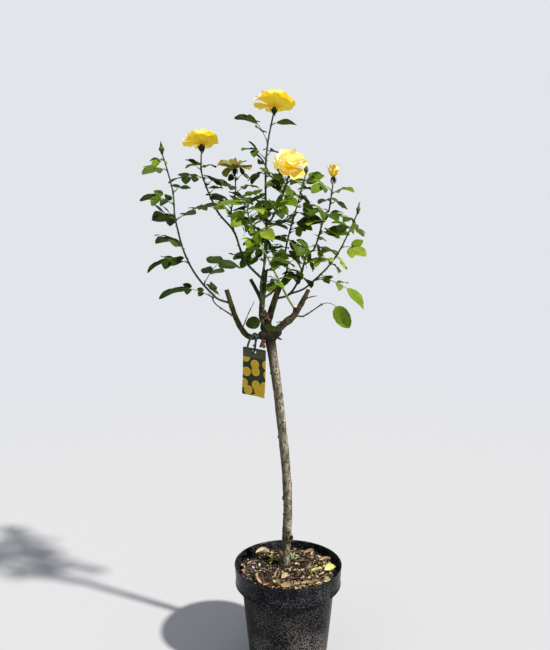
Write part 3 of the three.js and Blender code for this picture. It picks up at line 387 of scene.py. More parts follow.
# Each cane: carrier, seed, radius at foot and tip, course, then leaves as (share of its length,
# bearing, rise, length, arch, and at will the side leaflets' size, 0 for a single blade), and its
# flower as (kind, width, height, facing) with any loose petals that hang from it
canes = {
    "cane_left": {
        "on": "bough_left", "seed": 11, "foot": 2.6, "tip": 1.5,
        "course": [
            (-126, -6, 758), (-158, -9, 776), (-206, -16, 840), (-233, -26, 925), (-237, -35, 989), (-257, -45, 1063),
        ],
        "light": (0.25, -0.22, 0.94),
        "leaves": [
            (0.2, -31, 24, 96, 0.55), (0.35, -170, -8, 89, 0.3), (0.47, 142, 14, 75, 0.2), (0.61, -12, 19, 100, 0.2),
            (0.64, 132, 2, 80, 0.2), (0.7, -171, 14, 68, 0.25), (0.77, 70, 24, 58, 0.2), (0.9, 153, 4, 63, 0.2),
            (0.96, -107, -23, 48, 0.2),
        ],
        "flower": ("bud", 10.5, 19, (-0.1, 0, 1)),
    },
    "cane_low_left": {
        "on": "bough_left", "seed": 23, "foot": 2, "tip": 1.2,
        "course": [(-115, -8, 728), (-149, -34, 756), (-157, -45, 773)],
        "light": (0.25, -0.3, 0.92),
        "leaves": [(0.97, -161, 5, 106, 0.25, 0.5), (0.9, -81, 46, 47, 0.1), (0.55, 80, 20, 55, 0.2)],
    },
    "cane_second": {
        "on": "bough_centre", "seed": 37, "foot": 2.9, "tip": 1.7,
        "course": [(-58, -4, 807), (-91, 2, 849), (-117, 14, 914), (-153, 26, 959), (-187, 45, 1039), (-191, 60, 1105)],
        "light": (0.3, -0.35, 0.88),
        "leaves": [
            (0.14, 126, 25, 68, 0.2), (0.54, 139, 22, 54, 0.2), (0.67, -53, 9, 51, 0.2), (0.73, 61, 24, 62, 0.2),
            (0.79, -161, -6, 76, 0.1), (0.78, -48, -7, 54, 0.1), (0.84, 144, 38, 54, 0), (0.86, 51, 20, 46, 0.1),
        ],
        "flower": ("open", 79, 39, (-0.08, 0.05, 1)),
    },
    "cane_back_left": {
        "on": "cane_second", "seed": 41, "foot": 2.2, "tip": 1.5,
        "course": [(-117, 16, 914), (-125, 51, 961), (-118, 87, 1012), (-122, 125, 1069)],
        "light": (0.3, -0.4, 0.86),
        "leaves": [
            (0.1, 52, 0, 63, 0.2), (0.17, -56, -4, 73, 0.2), (0.3, -114, 4, 64, 0.2), (0.47, -59, -2, 70, 0.2),
            (0.61, -30, 12, 63, 0.3), (0.71, 135, 21, 64, 0.1), (0.83, 41, 16, 48, 0.5), (0.93, -121, -32, 28, 0.2),
        ],
        "flower": ("spent", 80, 34, (0.05, -0.5, 1)),
        "loose": [(-1.0, 1.5, 3.0, 0.42, 0.3, 0.4, 0.1, 4)],
    },
    "cane_top": {
        "on": "bough_centre", "seed": 53, "foot": 3, "tip": 1.8,
        "course": [(-59, -2, 758), (-57, -14, 800), (-47, 3, 876), (-47, 11, 1064), (-30, 15, 1170)],
        "light": (0.27, -0.42, 0.86),
        "leaves": [
            (0.29, 63, 16, 53, 0.1), (0.3, 140, 9, 63, 0.2), (0.34, -52, -8, 64, 0.2), (0.36, -97, -16, 79, 0.1),
            (0.39, -47, -1, 63, 0.2), (0.41, 119, 21, 67, 0.2), (0.515, -125, -2, 62, 0.2), (0.54, 141, 15, 66, 0.2),
            (0.6, -56, -14, 62, 0.2), (0.655, -59, -23, 76, 0.25), (0.67, 122, -6, 63, 0.3), (0.74, -139, 14, 63, 0.3),
            (0.76, 60, 28, 52, 0.2), (0.83, -165, 43, 78, 0.5), (0.92, -10, 8, 50, 0.25, 0),
        ],
        "flower": ("open", 86, 42, (0.02, 0, 1)),
    },
    "cane_front": {
        "on": "cane_top", "seed": 67, "foot": 2.4, "tip": 1.7,
        "course": [(-47, 0, 925), (-33, -16, 938), (-12, -60, 978), (0, -95, 1014)],
        "leaves": [
            (0.32, -103, 5, 64, 0.2), (0.48, -61, -9, 62, 0.2), (0.6, 60, 3, 63, 0.2), (0.77, -70, 0, 63, 0.2),
            (0.86, -119, -2, 47, 0.2),
        ],
        "flower": ("open", 66, 46, (0.02, -0.7, 1)),
        "loose": [(0.55, 1.25, 2.75, 0.5, 0.6, 0.5, 0.2, 2), (-0.2, 1.3, 2.2, 0.42, 0.5, 0.5, 0.2, 2)],
    },
    "cane_young": {
        "on": "bough_right", "seed": 71, "foot": 2.5, "tip": 1.4,
        "course": [(12, -20, 744), (-6, -31, 779), (-76, -69, 918), (-81, -80, 956)],
        "leaves": [
            (0.3, -114, -15, 57, 0.2), (0.41, -62, 11, 63, 0.2), (0.66, -112, -10, 62, 0.2), (0.75, -62, -10, 69, 0.2),
            (0.82, -118, 0, 62, 0.2), (0.91, -61, 1, 62, 0.2), (0.97, 117, 23, 64, 0.2), (0.99, -80, 12, 62, 0.2),
        ],
    },
    "cane_back_right": {
        "on": "bough_centre", "seed": 83, "foot": 2.6, "tip": 1.5,
        "course": [(-52, -3, 768), (-24, 8, 793), (-1, 26, 833), (-3, 41, 884), (42, 95, 1055)],
        "leaves": [
            (0.31, 54, 13, 62, 0.2), (0.4, 118, 12, 62, 0.2), (0.48, -68, -19, 68, 0.2), (0.56, -45, -3, 62, 0.2),
            (0.64, 114, 5, 66, 0.2), (0.69, -62, -21, 63, 0.2), (0.77, 59, 15, 63, 0.2), (0.82, -120, -10, 64, 0.2),
            (0.9, 120, 22, 48, 0.2), (0.93, -36, 22, 46, 0.1),
        ],
        "flower": ("bud", 9.5, 22, (0.1, 0, 1)),
    },
    "cane_back": {
        "on": "bough_centre", "seed": 97, "foot": 2.5, "tip": 1.4,
        "course": [(-51, -5, 797), (-52, 40, 850), (-50, 95, 915), (-44, 140, 985)],
        "leaves": [
            (0.3, 160, 10, 74, 0.25), (0.42, 30, 5, 78, 0.2), (0.55, 105, 0, 84, 0.2), (0.64, -160, 12, 66, 0.2),
            (0.73, 35, 18, 80, 0.25), (0.82, 130, 5, 82, 0.2), (0.9, 60, 10, 72, 0.2), (0.97, 100, 40, 58, 0.2),
        ],
        "flower": ("bud", 9, 20, (0.1, 0.2, 1)),
    },
    "cane_right": {
        "on": "bough_middle", "seed": 101, "foot": 2.8, "tip": 1.6,
        "course": [
            (-24, 21, 768), (2, 22, 779), (26, 26, 815), (40, 30, 865), (59, 32, 881), (81, 38, 952), (91, 40, 965),
            (100, 45, 1032),
        ],
        "leaves": [
            (0.22, -65, -7, 62, 0.2), (0.29, -136, -24, 64, 0.15), (0.37, 61, -12, 59, 0.2), (0.5, -131, -17, 63, 0.1),
            (0.6, -45, -16, 62, 0.2), (0.65, -122, -2, 62, 0.2), (0.7, -21, -10, 62, 0.45), (0.73, -71, -13, 60, 0.1),
            (0.77, -137, -8, 63, 0.2), (0.82, 54, 10, 62, 0.2), (0.84, 116, 5, 50, 0.2), (0.89, -52, 2, 63, 0.2),
            (0.91, -140, -6, 62, 0.45),
        ],
        "flower": ("half", 28, 30, (0, 0, 1)),
    },
    "cane_far_right": {
        "on": "cane_right", "seed": 113, "foot": 2.4, "tip": 1.4,
        "course": [(2, 22, 779), (43, 7, 797), (97, -20, 854), (138, -60, 940)],
        "light": (0.3, -0.42, 0.85),
        "leaves": [
            (0.28, -11, -30, 132, 0.35, 0.6), (0.36, 67, -16, 47, 0.1), (0.49, -67, -20, 46, 0.1),
            (0.51, -130, -5, 62, 0.25), (0.57, 45, -27, 46, 0.1), (0.59, 111, 14, 63, 0.2), (0.66, -35, -18, 62, 0.3),
            (0.81, -50, -5, 47, 0.3),
            (0.85, -116, -6, 63, 0.2), (0.93, 106, 11, 47, 0.2),
        ],
        "flower": ("bud", 8, 17, (0.15, 0, 1)),
    },
    "cane_low_right": {
        "on": "bough_right", "seed": 127, "foot": 2, "tip": 1.3,
        "course": [(13, -14, 735), (32, -24, 733), (63, -45, 754)],
        "light": (0.2, -0.95, 0.25),
        "leaves": [(0.97, -16, -42, 102, 0.62, 0)],
    },
    "cane_short": {
        "on": "bough_centre", "seed": 131, "foot": 1.7, "tip": 1.1,
        "course": [(-49, -5, 826), (-30, -6, 836), (-6, -10, 849)],
        "leaves": [(0.95, 69, 25, 47, 0.1), (0.58, -66, 41, 46, 0.1)],
    },
    "shoot_head": {
        "on": "trunk", "seed": 139, "foot": 1.8, "tip": 1.2,
        "course": [(-47, 3, 706), (-50, -13, 711), (-53, -21, 718)],
        "light": (0.1, -0.96, 0.2),
        "leaves": [(0.95, 186, 4, 34, 0.05, 0), (0.7, -52, -12, 33, 0.2)],
    },
}
leafRule = {
    "terminal": 0.5, "singleShare": 0.8, "shortest": 20, "longest": 54, "fivePartLength": 64, "singleLength": 34,
    "pairSeats": (0.44, 0.2), "pairShares": (0.86, 0.7), "spread": 1.16, "aspect": 0.6,
    "light": (0.28, -0.62, 0.73), "roll": 0.7, "twist": 0.3,
    "elbowRoom": 3.0, "stemRoom": 1.2,  # less than in the solids, whose leaves stay apart
    "stalkMarks": (0.35, 0.6, 0.8), "beadStep": 4, "outline": [(0.3, 0.94), (0.68, 0.86)],
}


# Shader groups and materials

def node(tree, kind, inputs=None, **settings):
    # a node with its settings; an input that is given a socket is linked, and one that is given a value is set
    made = tree.nodes.new(kind)
    for name, value in settings.items():
        setattr(made, name, value)
    for name, value in (inputs or {}).items():
        socket = made.inputs[name]
        if isinstance(value, bpy.types.NodeSocket):
            tree.links.new(value, socket)
        else:
            socket.default_value = (*value, 1) if socket.type == "RGBA" and len(value) == 3 else value
    return made


def maths(tree, operation, *values):
    return node(tree, "ShaderNodeMath", dict(enumerate(values)), operation=operation).outputs[0]


def mapped(tree, value, low, high, least=0, most=1):
    # low to high becomes least to most, and stops there
    sockets = {"Value": value, "From Min": low, "From Max": high, "To Min": least, "To Max": most}
    return node(tree, "ShaderNodeMapRange", sockets).outputs["Result"]


def blended(tree, factor, under, over, way="MIX"):
    sockets = {"Factor": factor, "A": under, "B": over}
    return node(tree, "ShaderNodeMix", sockets, data_type="RGBA", blend_type=way).outputs["Result"]


def partOf(tree, vector, axis):
    return node(tree, "ShaderNodeSeparateXYZ", {0: vector}).outputs[axis]


def noise(tree, place, scale, detail, roughness=0.5):
    sockets = {"Vector": place, "Scale": scale, "Detail": detail, "Roughness": roughness}
    return node(tree, "ShaderNodeTexNoise", sockets).outputs["Fac"]


def shaderGroup(name, inputs, outputs):
    # an empty group with these named sockets, and the outputs of its entry
    group = bpy.data.node_groups.new(name, "ShaderNodeTree")
    for way, sockets in (("INPUT", inputs), ("OUTPUT", outputs)):
        for label, kind in sockets.items():
            group.interface.new_socket(label, in_out=way, socket_type="NodeSocket" + kind)
    return group, node(group, "NodeGroupInput").outputs


def mottleGroup():
    # two colours mixed by soft noise, with fine grain on top, and the noise as a height
    inputs = {"Low": "Color", "High": "Color", "Scale": "Float", "Grain": "Float", "Stretch": "Vector"}
    group, given = shaderGroup("mottle", inputs, {"Colour": "Color", "Height": "Float"})
    place = node(group, "ShaderNodeTexCoord").outputs["Object"]
    spot = node(group, "ShaderNodeVectorMath", {0: place, 1: given["Stretch"]}, operation="MULTIPLY").outputs[0]
    broad = noise(group, spot, given["Scale"], 4)
    fine = noise(group, spot, maths(group, "MULTIPLY", given["Scale"], 7), 3)
    colour = blended(group, mapped(group, broad, 0.3, 0.7), given["Low"], given["High"])
    colour = blended(group, given["Grain"], colour, fine, "OVERLAY")
    node(group, "NodeGroupOutput", {"Colour": colour, "Height": maths(group, "ADD", broad, fine)})
    return group


def speckGroup():
    # a mask of scattered round specks: one in each cell of a lattice, some of the cells left empty
    inputs = {"Scale": "Float", "Size": "Float", "Amount": "Float"}
    group, given = shaderGroup("specks", inputs, {"Mask": "Float"})
    place = node(group, "ShaderNodeTexCoord").outputs["Object"]
    cells = node(group, "ShaderNodeTexVoronoi", {"Vector": place, "Scale": given["Scale"]}, feature="F1").outputs
    red = node(group, "ShaderNodeSeparateColor", {"Color": cells["Color"]}).outputs["Red"]
    near = maths(group, "LESS_THAN", cells["Distance"], given["Size"])
    chosen = maths(group, "LESS_THAN", red, given["Amount"])
    node(group, "NodeGroupOutput", {"Mask": maths(group, "MULTIPLY", near, chosen)})
    return group


mottle = mottleGroup()
specks = speckGroup()


def freshMaterial(name, roughness, specular):
    material = bpy.data.materials.new(name)
    material.use_nodes = True
    shader = material.node_tree.nodes["Principled BSDF"]
    shader.inputs["Roughness"].default_value = roughness
    shader.inputs["Specular IOR Level"].default_value = specular
    return material, material.node_tree, shader


def clothOf(tree, low, high, scale, grain, stretch):
    sockets = {"Low": low, "High": high, "Scale": scale, "Grain": grain, "Stretch": stretch}
    return node(tree, "ShaderNodeGroup", sockets, node_tree=mottle).outputs


def speckled(tree, under, speck):
    # under, with scattered round specks of another colour
    sockets = {"Scale": speck["scale"], "Size": speck["size"], "Amount": speck["amount"]}
    mask = node(tree, "ShaderNodeGroup", sockets, node_tree=specks).outputs["Mask"]
    return blended(tree, mask, under, speck["colour"])


def raised(tree, shader, height, strength, distance):
    bump = node(tree, "ShaderNodeBump", {"Strength": strength, "Distance": distance, "Height": height})
    tree.links.new(bump.outputs["Normal"], shader.inputs["Normal"])


def mottled(name, low, high, scale, grain=0.25, stretch=(1, 1, 1), roughness=0.7, relief=0.3, depth=0.001,
            specular=0.5, underside=None, speck=None, shade=None, paintedSideLight=None, paintedGlow=None):
    # the common finish: mottled colour and relief; at will scattered specks, another colour from a height up,
    # painted light or shade on the side facing a way, another underside, and a painted glow for light that comes
    # through
    material, tree, shader = freshMaterial(name, roughness, specular)
    cloth = clothOf(tree, low, high, scale, grain, stretch)
    colour = cloth["Colour"]
    if speck:
        colour = speckled(tree, colour, speck)
    place = node(tree, "ShaderNodeTexCoord").outputs if shade or paintedSideLight else None
    if shade:
        share = mapped(tree, partOf(tree, place["Object"], "Z"), shade["from"], shade["to"], 0, shade["most"])
        colour = blended(tree, share, colour, shade["colour"])
    # painted light or shade: faces turned towards the given way take the other colour
    if paintedSideLight:
        sockets = {0: place["Normal"], 1: paintedSideLight["way"]}
        facing = node(tree, "ShaderNodeVectorMath", sockets, operation="DOT_PRODUCT").outputs["Value"]
        share = mapped(tree, facing, paintedSideLight["from"], paintedSideLight["to"], 0, paintedSideLight["most"])
        colour = blended(tree, share, colour, paintedSideLight["colour"])
    # painted glow: emission stands in for light shining through the thin sheet
    if paintedGlow:
        shader.inputs["Emission Color"].default_value = (*paintedGlow, 1)
        shader.inputs["Emission Strength"].default_value = 0.2
    if underside:
        colour = blended(tree, node(tree, "ShaderNodeNewGeometry").outputs["Backfacing"], colour, underside)
    tree.links.new(colour, shader.inputs["Base Color"])
    raised(tree, shader, cloth["Height"], relief, depth)
    return material


def finishes(rows, **common):
    # one mottled material for each row of name, dark colour, light colour and, at will, what sets it apart
    return [mottled(name, low, high, **{**common, **dict(*own)}) for name, low, high, *own in rows]


# Floor and light

def layFloor(look):
    # rings of points round the middle, the inmost closed by a fan
    heap = emptyHeap()
    sides, rings = look["floorSides"], look["floorRings"]
    angle = around(sides)
    radii = np.array(rings)[:, None]
    height = np.full((len(rings), sides), look["floorDrop"])
    circles = np.stack([radii * np.cos(angle), radii * np.sin(angle), height], -1)
    points = np.concatenate([circles.reshape(-1, 3), [[0, 0, look["floorDrop"]]]])
    pour(heap, points, gridQuads(len(rings), sides, wrap=True, flip=True), fan(len(rings) * sides, np.arange(sides)))
    floor = standing("floor", meshFrom("floor", heap))
    material, tree, shader = freshMaterial("floorPaint", 0.9, 0.2)
    shader.inputs["Base Color"].default_value = (*look["floorColour"], 1)
    place = node(tree, "ShaderNodeTexCoord").outputs["Object"]
    away = node(tree, "ShaderNodeVectorMath", {0: place}, operation="LENGTH").outputs["Value"]
    tree.links.new(mapped(tree, away, look["fadeFrom"], look["fadeTo"], 1, 0), shader.inputs["Alpha"])
    floor.data.materials.append(material)


def lightStudio(look):
    world = bpy.data.worlds.new("studio")
    bpy.context.scene.world = world
    world.use_nodes = True
    tree = world.node_tree
    sky = tree.nodes["Background"]
    sky.inputs["Color"].default_value = (*look["skyColour"], 1)
    sky.inputs["Strength"].default_value = look["skyStrength"]
    backdrop = node(tree, "ShaderNodeBackground", {"Color": look["backdropColour"]})  # what shows behind the plant
    seen = node(tree, "ShaderNodeLightPath").outputs["Is Camera Ray"]
    choose = node(tree, "ShaderNodeMixShader", {"Fac": seen, 1: sky.outputs[0], 2: backdrop.outputs[0]})
    tree.links.new(choose.outputs[0], tree.nodes["World Output"].inputs["Surface"])
    sun = bpy.data.lights.new("keySun", "SUN")
    sun.energy, sun.angle, sun.color = look["sunStrength"], math.radians(look["sunAngle"]), look["sunColour"]
    standing("keySun", sun).rotation_euler = np.radians(look["sunTurn"])
    fill = bpy.data.lights.new("fillPanel", "AREA")
    fill.energy, fill.size = look["fillStrength"], look["fillSize"]
    panel = standing("fillPanel", fill)
    panel.location, panel.rotation_euler = look["fillPlace"], np.radians(look["fillTurn"])


layFloor(studio)
lightStudio(studio)
bpy.context.scene.view_settings.view_transform = "Standard"


# Pot

potSizes = {
    "height": 201.5, "baseRadius": 82, "shoulderRadius": 99, "collarFootRadius": 112, "collarRadius": 114.5,
    "collarHeight": 40, "wall": 2.4, "floor": 3.2, "edge": 1.2, "drainHoles": 6, "drainHoleRadius": 6,
    "drainCircle": 60, "sides": 144, "swell": 0.35,
}
potLook = {
    "dark": (0.0005, 0.0005, 0.0007), "light": (0.005, 0.005, 0.006),
    "dust": (0.23, 0.2, 0.175), "dustFrom": 0.165, "dustTo": 0.05, "dustLeast": 0.05, "dustMost": 0.95,
    # the collar's cool blue-grey is dust and painted sheen
    "collarDustAndSheen": (0.08, 0.13, 0.22), "collarFrom": 0.158, "collarTo": 0.170, "collarMost": 0.5,
    # dark specks of dust, and pale flecks that are painted glints
    "flecksAndGlints": [
        {"scale": 520, "size": 0.3, "amount": 0.4, "colour": (0.085, 0.09, 0.1)},
        {"scale": 270, "size": 0.27, "amount": 0.34, "colour": (0.11, 0.115, 0.125)},
        {"scale": 170, "size": 0.09, "amount": 0.14, "colour": (0.55, 0.55, 0.53)},
    ],
}


def potProfile(s):
    # up the outside from the middle of the underside, over the rounded lip, and down the inside to the floor
    ledge, bead, wall = s["height"] - s["collarHeight"], s["edge"], s["wall"]
    base, shoulder, foot, top = s["baseRadius"], s["shoulderRadius"], s["collarFootRadius"], s["collarRadius"]
    rim = s["height"]
    lip = [(top + bead * math.cos(a) * 0.5, rim - bead + bead * math.sin(a)) for a in np.linspace(-0.4, 2.6, 7)]
    return [
        (0, 0), (base - 12, 0), (base - 2, 0), (base - 0.6, 0.6), (base, 2), (base + 0.4, 6), (base + 5.6, 50),
        (base + 11.2, 100), (shoulder, ledge - 3), (shoulder + 1.2, ledge - 2.2), (foot, ledge - bead),
        (foot + bead, ledge - 0.5 * bead), (foot + bead, ledge + 0.9 * bead), (foot + 0.2, ledge + 2 * bead),
        (foot, ledge + 4), (foot + 0.9, ledge + 15), (top - 0.5, ledge + 30), (top - 0.1, rim - 4 * bead), *lip,
        (top - wall, rim - 2 * bead), (foot - wall, ledge + wall), (shoulder - wall, ledge - 3 + wall),
        (base - wall + 6, 60), (base - wall, s["floor"]), (0, s["floor"]),
    ]


def potBody(s):
    # the turned profile less its drain holes
    def wobble(points):
        # moulded plastic is never quite round: three waves of less than half a millimetre round the collar
        angle = np.arctan2(points[..., 1], points[..., 0])
        swell = s["swell"] * np.sin(3 * angle + 0.6) * ease(100, 190, points[..., 2])
        points[..., :2] += swell[..., None] * unit(points[..., :2])
        return points

    body, holes = emptyHeap(), emptyHeap()
    lathe(body, potProfile(s), s["sides"], wobble=wobble)
    radius, tall = s["drainHoleRadius"], 14
    for angle in around(s["drainHoles"]):
        spot = (s["drainCircle"] * math.cos(angle), s["drainCircle"] * math.sin(angle), -6)
        lathe(holes, [(0, 0), (radius, 0), (radius, tall), (0, tall)], 24, foot=spot)
    mesh = cutOut("pot", meshFrom("potRaw", body), meshFrom("potHoles", holes))
    mesh.materials.clear()
    mesh.set_sharp_from_angle(angle=math.radians(35))
    return mesh


def potPlastic(look):
    # black plastic: brown dust thickens down the body, the collar has cool dust with painted sheen,
    # and pale flecks are painted glints
    material, tree, shader = freshMaterial("blackPotPlastic", 0.4, 0.06)
    place = node(tree, "ShaderNodeTexCoord").outputs["Object"]
    height = partOf(tree, place, "Z")
    cloth = clothOf(tree, look["dark"], look["light"], 16, 0.35, (1, 1, 0.6))
    cloud = noise(tree, place, 14, 5, 0.6)
    grain = noise(tree, place, 330, 2)
    patches = maths(tree, "MULTIPLY", mapped(tree, cloud, 0.38, 0.66), mapped(tree, grain, 0.47, 0.6))
    low = mapped(tree, height, look["dustFrom"], look["dustTo"], look["dustLeast"], look["dustMost"])
    veil = maths(tree, "MULTIPLY", low, patches)
    # on the collar the dust turns cool blue-grey: dust and painted sheen
    collar = mapped(tree, height, look["collarFrom"], look["collarTo"], 0, look["collarMost"])
    dust = blended(tree, collar, look["dust"], look["collarDustAndSheen"])
    colour = blended(tree, maths(tree, "MULTIPLY_ADD", collar, patches, veil), cloth["Colour"], dust)
    for fleck in look["flecksAndGlints"]:
        colour = speckled(tree, colour, fleck)
    tree.links.new(colour, shader.inputs["Base Color"])
    tree.links.new(mapped(tree, veil, 0, 1, 0.3, 0.8), shader.inputs["Roughness"])
    raised(tree, shader, cloth["Height"], 0.3, 0.0006)
    return material


setDown("potBody", potBody(potSizes), [potPlastic(potLook)], ["pot"])


# Soil and what lies on it

soilSizes = {
    "top": 184, "radius": 111.2, "foot": 9, "edge": 3, "rings": 62, "sides": 200,
    "crumbs": 2600, "crumbReach": 108.5, "crumbLeast": 0.8, "crumbMore": 2.6,
    "perlite": 150, "perliteReach": 107, "perliteLeast": 0.5, "perliteMore": 1.1,
    "patchShare": 0.6, "patchMiddle": (-70, 15), "patchReach": (20.4, 24),  # where white grains gather
}


def soilHeight(x, y):
    # the solids' low waves, higher towards the stem, with three sizes of noise for the crumb
    p = np.stack([x, y, np.zeros_like(x)], -1)
    wave = np.sin(x / 13 + 1.3) * np.cos(y / 17 - 0.6) + 0.6 * np.sin(x / 7 + y / 9)
    near = np.exp(-np.hypot(x + 7, y - 25) / 26)
    crumb = 1.6 * noiseAt(p, 9, 2) + 1.0 * noiseAt(p, 3.6, 3) + 0.5 * noiseAt(p, 1.7, 4)
    return soilSizes["top"] + 1.2 * wave + 2.2 * near + crumb


def soilBody(s):
    # rings from the rim inwards, the first two down its side, closed above and below, with crumbs strewn on top
    heap = emptyHeap()
    sides = s["sides"]
    angle = around(sides)
    radii = np.concatenate([[s["radius"]] * 2, np.linspace(s["radius"], 2, s["rings"])])[:, None]
    x, y = radii * np.cos(angle), radii * np.sin(angle)
    z = soilHeight(x, y)
    z[0] = s["top"] - s["foot"]
    z[1] -= s["edge"]
    middles = [[0, 0, soilHeight(np.zeros(1), np.zeros(1))[0]], [0, 0, s["top"] - s["foot"]]]
    points = np.concatenate([np.stack([x, y, z], -1).reshape(-1, 3), middles])
    count, rim = x.size, np.arange(sides)
    ends = np.concatenate([fan(count, rim + count - sides), fan(count + 1, rim, flip=True)])
    pour(heap, points, gridQuads(len(radii), sides, wrap=True), ends)
    rng = np.random.default_rng(21)

    def strew(count):
        # evenly over a disc: the radius is the root of a random share
        radius = s["crumbReach"] * np.sqrt(rng.random(count))
        turn = rng.uniform(0, 2 * math.pi, count)
        return radius * np.cos(turn), radius * np.sin(turn)

    n = s["crumbs"]
    x, y = strew(n)
    size = s["crumbLeast"] + s["crumbMore"] * rng.random(n) ** 3
    lumps(heap, np.stack([x, y, soilHeight(x, y) + 0.3 * size], -1), size, rng, rng.integers(0, 2, n))
    n = s["perlite"]
    x, y = strew(n)
    gathered = rng.random(n) < s["patchShare"]
    x = np.where(gathered, s["patchMiddle"][0] + s["patchReach"][0] * rng.normal(size=n), x)
    y = np.where(gathered, s["patchMiddle"][1] + s["patchReach"][1] * rng.normal(size=n), y)
    inside = np.hypot(x, y) < s["perliteReach"]
    x, y = x[inside], y[inside]
    size = s["perliteLeast"] + s["perliteMore"] * rng.random(len(x)) ** 2
    lumps(heap, np.stack([x, y, soilHeight(x, y) + 0.9], -1), size, rng, 2)
    return meshFrom("soil", heap)


soilMaterials = [
    mottled("darkPeat", (0.008, 0.006, 0.004), (0.045, 0.03, 0.02), 95, 0.5, roughness=0.95, relief=0.8, depth=0.003,
            specular=0.2, speck={"scale": 420, "size": 0.2, "amount": 0.18, "colour": (0.22, 0.16, 0.1)}),
    mottled("peatCrumb", (0.014, 0.009, 0.006), (0.12, 0.075, 0.045), 160, 0.4, roughness=0.9, relief=0.5, depth=0.002,
            specular=0.2),
    mottled("perlite", (0.72, 0.72, 0.7), (0.9, 0.9, 0.88), 300, 0.2, roughness=0.8, relief=0.4),
]
setDown("soilBed", soilBody(soilSizes), soilMaterials, ["soil"])


# Blades: leaflets, sepals and fallen leaves as one kind of grid

def bladeGrid(heap, feet, along, faces, lengths, widths, bows, lifts, tones,
              rows=12, columns=5, teeth=0.05, curl=0, rib=True):
    # each blade over (v along, u across): foot + along L v + side w(v) u + face (lift |u| w - bow L v2 + folds).
    # w = sin(pi t^0.9) over v = t/4 + 3/8 (1 - cos pi t), and its edge steps in at every other row
    n = len(feet)
    along, faces = unit(along), unit(faces)
    side = unit(np.cross(along, faces))
    long, half, bow, lift, curl = (
        np.broadcast_to(np.asarray(a, float), (n,))[:, None, None]
        for a in (lengths, np.asarray(widths) / 2, bows, lifts, curl)
    )
    t = np.linspace(0, 1, rows)
    v = (0.25 * t + 0.375 * (1 - np.cos(math.pi * t)))[:, None]
    u = np.linspace(-1, 1, columns)
    shape = np.sin(math.pi * t**0.9)
    shape[0], shape[-1] = 0.05, 0.02
    notch = 1 - teeth * (np.arange(rows) % 2)[:, None] * ease(0.05, 0.2, v)
    across = u * shape[:, None] * np.where(np.abs(u) > 0.99, notch, 1.0)
    fold = np.cos(math.pi * np.arange(rows))[:, None] * np.abs(u) * (1.2 - np.abs(u)) * 0.03
    wave = np.sin(7 * v + 2.2 * np.sign(u)) * u**2 * 0.09
    rise = lift * 2 * half * np.abs(across) - bow * long * v**2 + half * (fold + wave) + curl * half * u**2 * (0.5 + v)
    points = (
        feet[:, None, None] + along[:, None, None] * (long * v)[..., None]
        + side[:, None, None] * (half * across)[..., None] + faces[:, None, None] * rise[..., None]
    )
    one = gridQuads(rows, columns)
    tones = np.broadcast_to(tones, (n,))
    pour(heap, points, copies(one, rows * columns, n), tone=np.repeat(tones, len(one)))
    if rib:  # a narrow strip a little over the middle, four tones on from its blade
        spine = points[:, :, columns // 2] + faces[:, None] * 0.2
        girth = 0.5 * (1 - 0.8 * v) * side[:, None]
        one = gridQuads(rows, 2)
        strip = np.stack([spine - girth, spine + girth], 2)
        pour(heap, strip, copies(one, rows * 2, n), tone=np.repeat(tones, len(one)) + 4)


# Where leaves grow: the solids' rule again

def radiusOfTrunk(share):
    # the radius at a share of its length: a flare that dies away upwards, a thicker head, and low waves
    s = trunkSizes
    length = s["course"][-1][2] - s["course"][0][2]
    flare = (s["flareRadius"] - s["radius"]) * np.exp(-3 * share * length / s["flareHeight"])
    head = (s["headRadius"] - s["radius"]) * ease(0.8, 0.95, share)
    return s["radius"] + flare + head + s["ripple"] * np.sin(2 * math.pi * s["ripples"] * share)


def leafAxes(plan, share):
    # a point of the stalk's parabola, and the leaf's along, side and face there
    foot, knee, tip = plan["foot"], plan["knee"], plan["tip"]
    at = (1 - share) ** 2 * foot + 2 * (1 - share) * share * knee + share**2 * tip
    along = unit((1 - share) * (knee - foot) + share * (tip - knee))
    side = spin(unit(np.cross(along, plan["light"])), along, plan["roll"])
    return at, along, side, np.cross(side, along)


def planLeaf(foot, row, draw, lone, light):
    # the stalk as a parabola from the cane to the leaf's tip, and its leaflets in the order of drawing
    rule = leafRule
    bearing, rise, length, arch = math.radians(row[1]), math.radians(row[2]), row[3], row[4]
    reach = length * np.array([math.cos(rise) * math.cos(bearing), math.cos(rise) * math.sin(bearing), math.sin(rise)])
    plan = {"foot": foot, "tip": foot + reach, "knee": foot + reach / 2 + upward * arch * length, "light": light}
    plan["roll"] = draw(-rule["roll"], rule["roll"])
    bow = draw(0.05, 0.28)
    lift = draw(0.04, 0.16)
    pairSize = row[5] if len(row) > 5 else 1
    share = rule["terminal"] if pairSize else rule["singleShare"]
    terminal = min(max(share * length, rule["shortest"]), rule["longest"])
    plan["seat"] = 1 - terminal / length
    pairs = 0 if lone or not pairSize else sum(length >= rule[key] for key in ("singleLength", "fivePartLength"))
    blades = []
    for i in range(pairs):
        at, along, side, face = leafAxes(plan, rule["pairSeats"][i])
        for hand in (1, -1):
            spread = rule["spread"] + draw(-0.08, 0.08)
            size = terminal * rule["pairShares"][i] * pairSize * draw(0.85, 1.06)
            lean = along * math.cos(spread) + side * hand * math.sin(spread)
            turned = spin(face, lean, draw(-rule["twist"], rule["twist"]))
            blades.append({"foot": at, "along": lean, "face": turned, "length": size})
    at, along, side, face = leafAxes(plan, plan["seat"])
    blades.append({"foot": at, "along": unit(plan["tip"] - at), "face": face, "length": terminal})
    plan["blades"] = [{**blade, "bow": bow, "lift": lift} for blade in blades]
    return plan


